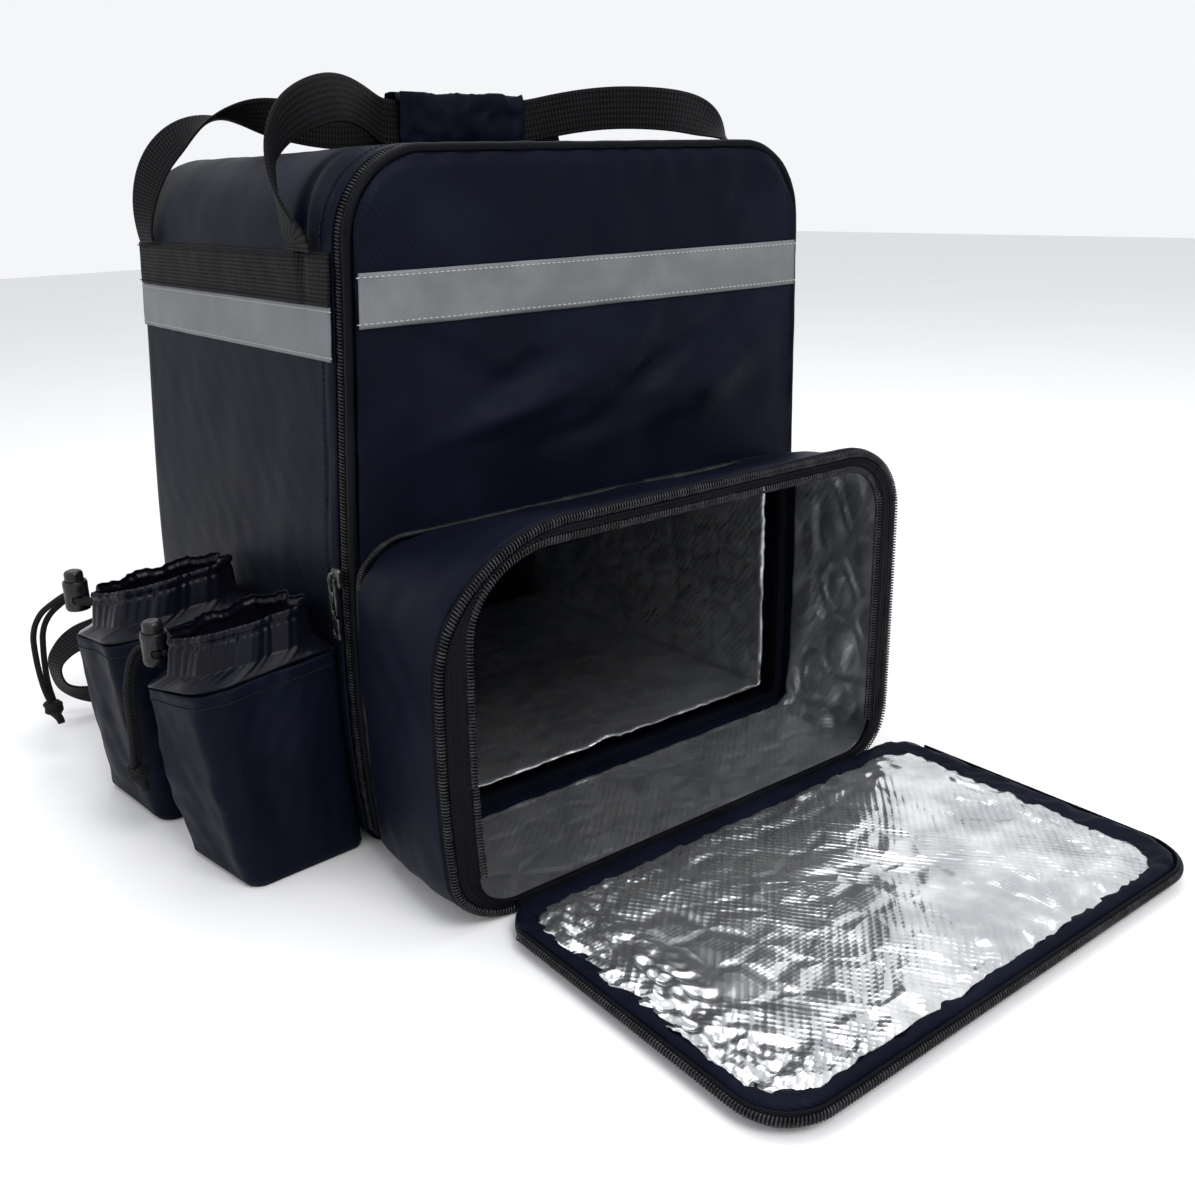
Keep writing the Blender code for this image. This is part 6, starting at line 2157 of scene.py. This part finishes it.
    def build_collar(self, pocket: Pocket) -> None:
        """The gathered collar: ruffles and finer pleats grow as it draws in to a round rolled rim.

        Args:
            pocket: which pocket.
        """
        count = 9 * 36
        turn = np.arange(count) / count * 2 * math.pi
        waves = np.sin(9 * turn + 0.4)
        chance = 0.5 * np.sin(23 * turn + 2 * np.sin(3 * turn)) + 0.5 * np.sin(41 * turn + 1.3)
        rise = np.concatenate((np.linspace(0, 0.24, 8)[:-1], np.linspace(0.24, 1, 26)))
        table = np.array(((0.0, 0.25, 0.15, 0.0), (0.24, 0.44, 0.80, 0.6), (1.0, 0.49, 1.0, 1.0)))
        loops = []
        for r in rise:
            radius, draw, ruffle = (float(np.interp(r, table[:, 0], table[:, i])) for i in (1, 2, 3))
            corner = unit_loop(radius, max(radius - 0.12, 0.1), count)
            x, y, height = pocket.plan(corner, 1.0)
            centre = np.array((x.mean(), y.mean()))
            away = np.stack((x, y), axis=-1) - centre
            length = np.linalg.norm(away, axis=1)
            lip = 0.0011 * math.exp(-(((r - 0.93) / 0.07) ** 2))
            lip -= 0.0010 * math.exp(-(((r - 0.80) / 0.05) ** 2))
            inset = 0.0065 * draw + 0.0022 * ruffle * (1 - waves) - 0.00075 * ruffle * chance - lip
            x, y = (centre + away * ((length - inset) / length)[:, None]).T
            bob = 0.0012 * ruffle * (waves * 0.5 + chance * 0.3)
            loops.append(pocket.beside(x, y, height + 0.0012 + GAP + 0.029 * r + bob * r))
        points = np.stack(loops)
        points = outward(points, points.mean(axis=(0, 1)))
        collar = walled(surface(f"{pocket.name}_gathered_collar", points, around=True), 0.0009)
        dressed(collar, Finish.COLLAR, [f"{pocket.name}_collar"])


@dataclass
class CordLock:
    """A spring cord lock: a barrel with a slot for both cords, and its sliding button."""

    pocket: Pocket
    radius: float = 0.008
    height: float = 0.020
    button: float = 0.006
    head: float = 0.0070
    floor: float = 0.0022
    travel: float = 0.0025

    @staticmethod
    def turned(name: str, profile: Array, centre: Array) -> bpy.types.Object:
        """A profile of radius and height turned about the lock's axis, closed at both ends.

        Args:
            name: the piece's name.
            profile: an (n, 2) array.
            centre: the axis's x and y.

        Returns:
            the object.
        """
        turns = np.arange(56) * 2 * math.pi / 56
        x, y = centre[0] + profile[:, :1] * np.cos(turns), centre[1] + profile[:, :1] * np.sin(turns)
        return solid(name, np.stack((x, y, np.broadcast_to(profile[:, 1:], x.shape)), axis=-1))

    @staticmethod
    def slotted(piece: bpy.types.Object, centre: Array, size: tuple[float, float, float]) -> bpy.types.Object:
        """Cuts the cords' slot through a piece and takes the result as its mesh.

        Args:
            piece: the barrel or the button.
            centre: the slot's middle.
            size: its width, depth and height.

        Returns:
            the same piece.
        """
        turns = np.arange(24) * 2 * math.pi / 24 + math.pi / 24
        half = np.array((size[0] / 2, size[2] / 2))
        ring = np.stack((np.cos(turns), np.sin(turns)), axis=-1)
        ring = np.sign(ring) * np.abs(ring) ** 0.35 * half
        y = centre[1] + np.array((-1.0, 1.0))[:, None] * size[1] / 2
        points = np.stack(np.broadcast_arrays(centre[0] + ring[:, 0], y, centre[2] + ring[:, 1]), axis=-1)
        cutter = solid("slot_cutter", points)
        cut = piece.modifiers.new("slot", "BOOLEAN")
        cut.operation = "DIFFERENCE"
        cut.object = cutter
        baked(piece)
        bpy.data.objects.remove(cutter, do_unlink=True)
        piece.data.shade_smooth()
        piece.data.set_sharp_from_angle(angle=math.radians(38))
        return piece

    def build(self) -> None:
        """Builds and dresses the barrel and the button."""
        centre = self.pocket.lock_place
        low = centre[2] - self.height * 0.42
        top = low + self.height
        r, bore = self.radius, self.button + GAP
        outer = (
            (0.0002, low), (r - 0.0022, low), (r - 0.0006, low + 0.0006), (r, low + 0.0022),
            (r, low + 0.0050), (r * 0.97, low + 0.0056), (r * 0.97, top - 0.0050), (r * 0.985, top - 0.0042),
            (r * 0.985, top - 0.0016), (r * 0.955, top - 0.0004), (r * 0.93, top),
        )
        inner = (
            (bore + 0.0003, top), (bore, top - 0.0004), (bore, low + self.floor + 0.0004),
            (bore - 0.0004, low + self.floor), (0.0002, low + self.floor),
        )
        barrel = self.turned(f"{self.pocket.name}_lock_case", np.array(outer + inner), centre)
        slot = (2 * CORD_DIAMETER + 0.0018, 0.032, CORD_DIAMETER + 0.0010)
        self.slotted(barrel, centre, slot)
        dressed(barrel, Finish.PLASTIC, [f"{self.pocket.name}_lock_barrel"])
        foot, crown = low + self.floor + self.travel + GAP, top + self.head
        b = self.button
        arch = np.linspace(0, math.pi / 2, 9)
        dome = np.stack((b - 0.0026 * (1 - np.cos(arch)), crown - 0.0024 + 0.0024 * np.sin(arch)), axis=-1)
        profile = np.concatenate((
            ((0.0002, foot), (b - 0.0004, foot), (b, foot + 0.0004)),
            ((b, crown - 0.0040), (b, crown - 0.0032)),
            dome, ((b * 0.28, crown - 0.0001), (0.0002, crown - 0.0004)),
        ))
        button = self.turned(f"{self.pocket.name}_lock_plunger", profile, centre)
        slot_low = centre[2] - CORD_DIAMETER / 2 - GAP
        slot_high = centre[2] + CORD_DIAMETER / 2 + self.travel + GAP
        middle = np.array((centre[0], centre[1], (slot_low + slot_high) / 2))
        self.slotted(button, middle, (slot[0], slot[1], slot_high - slot_low))
        nodes, body = [f"{self.pocket.name}_lock_button"], f"{self.pocket.name}_button"
        dressed(button, Finish.PLASTIC, nodes, body)


@dataclass
class MainSlider:
    """The front zipper's slider, with its bridge and the two linked pull plates."""

    shape: BagShape = BAG
    place: float = 0.1765
    length: float = 0.0120
    width: float = 0.0084
    body: float = 0.0042
    wall: float = 0.0016
    link: float = 0.0200
    link_width: float = 0.0078
    link_ends: float = 0.0022
    bridge_width: float = 0.0024
    bridge_play: float = 0.0016
    tag: float = 0.0135
    tag_width: float = 0.0084
    tag_hole: float = 0.0023
    neck: float = 0.0030
    pin: float = 0.0016

    @property
    def y(self) -> float:
        """The zipper's middle plane."""
        return self.shape.front + self.shape.panel_wall + GAP + self.shape.zipper_width / 2

    @property
    def face(self) -> float:
        """The cloth's face beside the slider."""
        return float(self.shape.settled(np.array((-self.shape.half, self.y, self.place)))[0]) - SEWN_GAP

    @property
    def pin_x(self) -> float:
        """The first pin's place."""
        return self.face - self.body - 0.0001 - (self.pin + 0.0012) / 2

    def rounded(self, width: float, length: float, radius: float, count: int = 20) -> Array:
        """A plate's rounded outline as y and z about its middle.

        Args:
            width: its width.
            length: its length.
            radius: its corners' radius.
            count: a quarter of its points.

        Returns:
            an (n, 2) loop.
        """
        radii = Radii(radius, radius, radius, radius)
        points = Outline(-width / 2, width / 2, -length / 2, length / 2, radii).points()
        return spaced(points, 2 * (width + length) / (4 * count), closed=True)

    def stacked(self, rows: Sequence[tuple[Array, float]], x: float, z: float) -> Array:
        """A plate's grid.

        Args:
            rows: outlines about the plate's middle, each with its distance from the middle plane.
            x: the middle plane.
            z: the middle's height.

        Returns:
            the grid.
        """
        return np.stack([
            np.stack((np.full(len(line), x + off), self.y + line[:, 0], z + line[:, 1]), axis=-1)
            for line, off in rows
        ])

    def plate(self, name: str, outer: Array, x: float, wall: float, z: float) -> bpy.types.Object:
        """A flat plate with softened edges.

        Args:
            name: the piece's name.
            outer: its outline about its middle.
            x: the plate's middle plane.
            wall: its thickness.
            z: its middle's height.

        Returns:
            the object.
        """
        edge, half = wall * EDGE_SHARE, wall / 2
        centre = (outer.max(axis=0) + outer.min(axis=0)) / 2
        small = centre + (outer - centre) * (1 - edge / np.abs(outer - centre).max())
        core = centre + (outer - centre) * 0.05
        rows = (
            (core, half), (small, half), (outer, half - edge),
            (outer, edge - half), (small, -half), (core, -half),
        )
        return solid(name, self.stacked(rows, x, z))

    def rod(self, name: str, start: Sequence[float], end: Sequence[float], radius: float) -> bpy.types.Object:
        """A round pin between two places, its ends softened.

        Args:
            name: the piece's name.
            start: one end.
            end: the other.
            radius: its radius.

        Returns:
            the object.
        """
        share = np.array((0.0, 0.04, 0.12, 0.88, 0.96, 1.0))
        girth = np.array((0.6, 0.9, 1.0, 1.0, 0.9, 0.6))[:, None, None] * radius
        path = np.asarray(start) + (np.asarray(end) - np.asarray(start)) * share[:, None]
        ahead = tangents(path)
        side = unit(np.cross(ahead, np.broadcast_to((0.3, 0.5, 0.81), path.shape)))
        ring = round_section(1.0, 16)
        points = path[:, None] + (carried(path * 0, side, np.cross(ahead, side), ring)) * girth
        return solid(name, points)

    def build(self) -> None:
        """Builds and dresses the slider, the link and the tag."""
        self.build_slider()
        self.build_link()
        self.build_tag()

    def build_slider(self) -> None:
        """The slider's body: a waisted plate with a proud middle, and the bridge's arch over it."""
        outline = self.rounded(self.width, self.length, 0.0026, 30)
        waist = 1 - 0.10 * np.exp(-((outline[:, 1] / 0.003) ** 2)) + 0.02 * outline[:, 1] / self.length
        outline = outline * np.stack((waist, np.ones(len(waist))), axis=-1)
        lower = self.plate("slider_body", outline, self.face - self.body / 2, self.body, self.place)
        dressed(lower, Finish.METAL, ["main_slider"])
        x = self.face - self.body - 0.00005
        crest = self.plate("slider_crest", outline * (0.40, 0.84), x, 0.0007, self.place)
        dressed(crest, Finish.METAL)
        turns = np.linspace(0, math.pi, 26)
        top = 0.0042
        arch_z = self.place + 0.0040 * np.cos(turns)
        arch_x = self.face - self.body + 0.0003 - (top - 0.0010) * np.sin(turns) ** 0.55
        path = np.stack((arch_x, np.full(26, self.y), arch_z), axis=-1)
        across = np.broadcast_to(REARWARD, path.shape)
        section = flat_section(0.0022, 0.0009, 3, 4)
        bridge = solid("slider_bridge", carried(path, across, np.cross(tangents(path), across), section))
        dressed(bridge, Finish.METAL)

    def build_link(self) -> None:
        """The first pull plate: two rails joined by a web, with a pin through the bridge and one below."""
        high, low = self.place, self.place - self.link
        x = self.pin_x
        rail = (self.link_width - self.bridge_width - self.bridge_play) / 2
        outline = self.rounded(rail, self.link + self.link_ends, rail * 0.42, 22)
        for word, sign in (("near", -1), ("far", 1)):
            moved = outline + (sign * (self.link_width - rail) / 2, 0)
            side = self.plate(f"pull_link_{word}_rail", moved, x, self.wall, (high + low) / 2)
            dressed(side, Finish.METAL, ["pull_link"] if sign < 0 else (), "main_pull")
        web_low, web_high = low + 0.0052, high - self.length / 2 - 0.0012
        web = self.rounded(self.link_width - rail, web_high - web_low, 0.0006, 12)
        plate = self.plate("pull_link_web", web, x, self.wall * 0.9, (web_low + web_high) / 2)
        dressed(plate, Finish.METAL, body="main_pull")
        half = (self.link_width - 0.0008) / 2
        for name, z in (("upper", high), ("lower", low)):
            start, end = (x, self.y - half, z), (x, self.y + half, z)
            pin = self.rod(f"pull_link_{name}_pin", start, end, self.pin / 2)
            dressed(pin, Finish.METAL, body="main_pull")

    def build_tag(self) -> None:
        """The second pull plate: a round-holed plate and the eye that turns on the link's lower pin."""
        low = self.place - self.link
        x = self.pin_x
        high = low - self.neck
        outer = self.rounded(self.tag_width, self.tag, 0.0020, 26)
        turns = np.arange(len(outer)) * 2 * math.pi / len(outer)
        start = math.atan2(outer[0, 1], outer[0, 0])
        shift = -self.tag * 0.12
        hole = self.tag_hole * np.stack((np.cos(turns + start), np.sin(turns + start)), axis=-1) + (0, shift)
        edge = self.wall * EDGE_SHARE
        small = outer * (1 - edge / np.abs(outer).max())
        wide = (hole - (0, shift)) * (1 + edge / self.tag_hole) + (0, shift)
        half = self.wall / 2
        rows = (
            (small, half), (outer, half - edge), (outer, edge - half), (small, -half),
            (wide, -half), (hole, edge - half), (hole, half - edge), (wide, half),
        )
        tag = solid("pull_tag_plate", self.stacked(rows, x, high - self.tag / 2), ring=True)
        dressed(tag, Finish.METAL, ["pull_tag"], "main_pull_tag")
        bore, length = self.pin / 2 + GAP, self.bridge_width + self.bridge_play / 3
        ring = round_section(1.0, 20)
        y = np.array((-1, -0.8, 0.8, 1, 1, -1)) * length / 2
        radius = np.array((bore + 0.0004, bore + 0.0007, bore + 0.0007, bore + 0.0004, bore, bore))
        reach, rise = (radius[:, None] * column for column in ring.T)
        eye = np.stack(np.broadcast_arrays(x + reach, self.y + y[:, None], low + rise), axis=-1)
        dressed(solid("pull_tag_eye", eye, ring=True), Finish.METAL, body="main_pull_tag")
        neck = self.rounded(length * 0.9, 0.0040, 0.0006, 10)
        stem = self.plate("pull_tag_neck", neck, x, self.wall * 0.9, low - self.neck / 2 - 0.0040 / 5)
        dressed(stem, Finish.METAL, body="main_pull_tag")


@dataclass(frozen=True)
class Studio:
    """The camera at the photograph's angle, soft lights and a pale floor."""

    place: tuple[float, float, float] = (-0.4715, -0.769, 0.387)
    heading: float = 37.38
    tilt: float = -18.82
    roll: float = -1.81
    focal: float = 1231.7
    frame_size: float = 1195.0

    def build_camera(self) -> None:
        """Sets the camera, whose focal length is in the photograph's pixels."""
        azimuth, tilt, roll = (math.radians(angle) for angle in (self.heading, self.tilt, self.roll))
        level = math.cos(tilt)
        ahead = np.array((math.sin(azimuth) * level, math.cos(azimuth) * level, math.sin(tilt)))
        right = unit(np.cross(ahead, UPRIGHT))
        up = np.cross(right, ahead)
        turned = math.cos(roll) * right + math.sin(roll) * up
        raised = -math.sin(roll) * right + math.cos(roll) * up
        data = bpy.data.cameras.new("camera")
        data.sensor_width = 36
        data.lens = self.focal / self.frame_size * 36
        data.clip_start = 0.02
        camera = bpy.data.objects.new("camera", data)
        self.set_up(camera, (turned, raised, -ahead, self.place))
        bpy.context.scene.camera = camera

    @staticmethod
    def set_up(piece: bpy.types.Object, columns: Sequence[Array]) -> None:
        """Adds a camera or a lamp to the scene.

        Args:
            piece: its object.
            columns: its own three axes and its place.
        """
        matrix = np.eye(4)
        matrix[:3] = np.stack(columns, axis=-1)
        piece.matrix_world = Matrix(matrix)
        bpy.context.scene.collection.objects.link(piece)

    def light(self, name: str, place: Array, target: Array, size: float, power: float) -> None:
        """A square area light at a place, turned to a target.

        Args:
            name: its name.
            place: where it stands.
            target: what it looks at.
            size: its width.
            power: its power in watts.
        """
        data = bpy.data.lights.new(name, "AREA")
        data.size = size
        data.energy = power
        lamp = bpy.data.objects.new(name, data)
        back = unit(place - target)
        right = unit(np.cross(UPRIGHT, back))
        self.set_up(lamp, (right, np.cross(back, right), back, place))

    def build(self) -> None:
        """Adds the lights, the pale surroundings and the floor, shown with plain contrast."""
        bpy.context.scene.view_settings.view_transform = "Standard"
        target = np.array((0.0, -0.1, 0.2))
        self.light("key_light", np.array((-0.2, -1.7, 1.9)), target, 1.0, 33)
        self.light("top_light", np.array((0.3, 0.2, 2.2)), target, 1.5, 19)
        self.light("side_light", np.array((-2.1, 0.3, 1.0)), target, 1.2, 6)
        world = bpy.data.worlds.new("surroundings")
        world.use_nodes = True
        sky = world.node_tree.nodes["Background"]
        sky.inputs["Color"].default_value = (0.93, 0.94, 0.96, 1)
        sky.inputs["Strength"].default_value = 0.98
        bpy.context.scene.world = world
        graph = Graph("pale_floor")
        tone = graph.noise(3, 3, graph.place())
        colour = graph.mix(tone, (0.76, 0.76, 0.765, 1), (0.79, 0.79, 0.795, 1))
        graph.shade(Base_Color=colour, Roughness=0.72)
        side = np.linspace(-6, 6, 9)
        points = np.stack(np.broadcast_arrays(side[:, None], side, -0.0002), axis=-1)
        floor = surface("floor", outward(points, (0, 0, -5), False))
        floor.data.materials.append(graph.material)
        floor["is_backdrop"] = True


def corners() -> list[list[float]]:
    """The whole object's box as plain lists."""
    return [[float(number) for number in corner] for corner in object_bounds()]


def main() -> None:
    """Builds every sub-assembly in order."""
    logging.basicConfig(level=logging.INFO, format="%(name)s %(message)s")
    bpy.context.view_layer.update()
    studio = Studio()
    studio.build_camera()
    pockets = CupPockets()
    pockets.build_cords()
    parts = (
        BagBody(), LowerExtension(), Flap(), Trim(), CarryHandles(), ShoulderStraps(), pockets, MainSlider(),
    )
    for part in parts:
        part.build()
        LOG.info("built %s", type(part).__name__)
    studio.build()


if __name__ == "__main__":
    main()
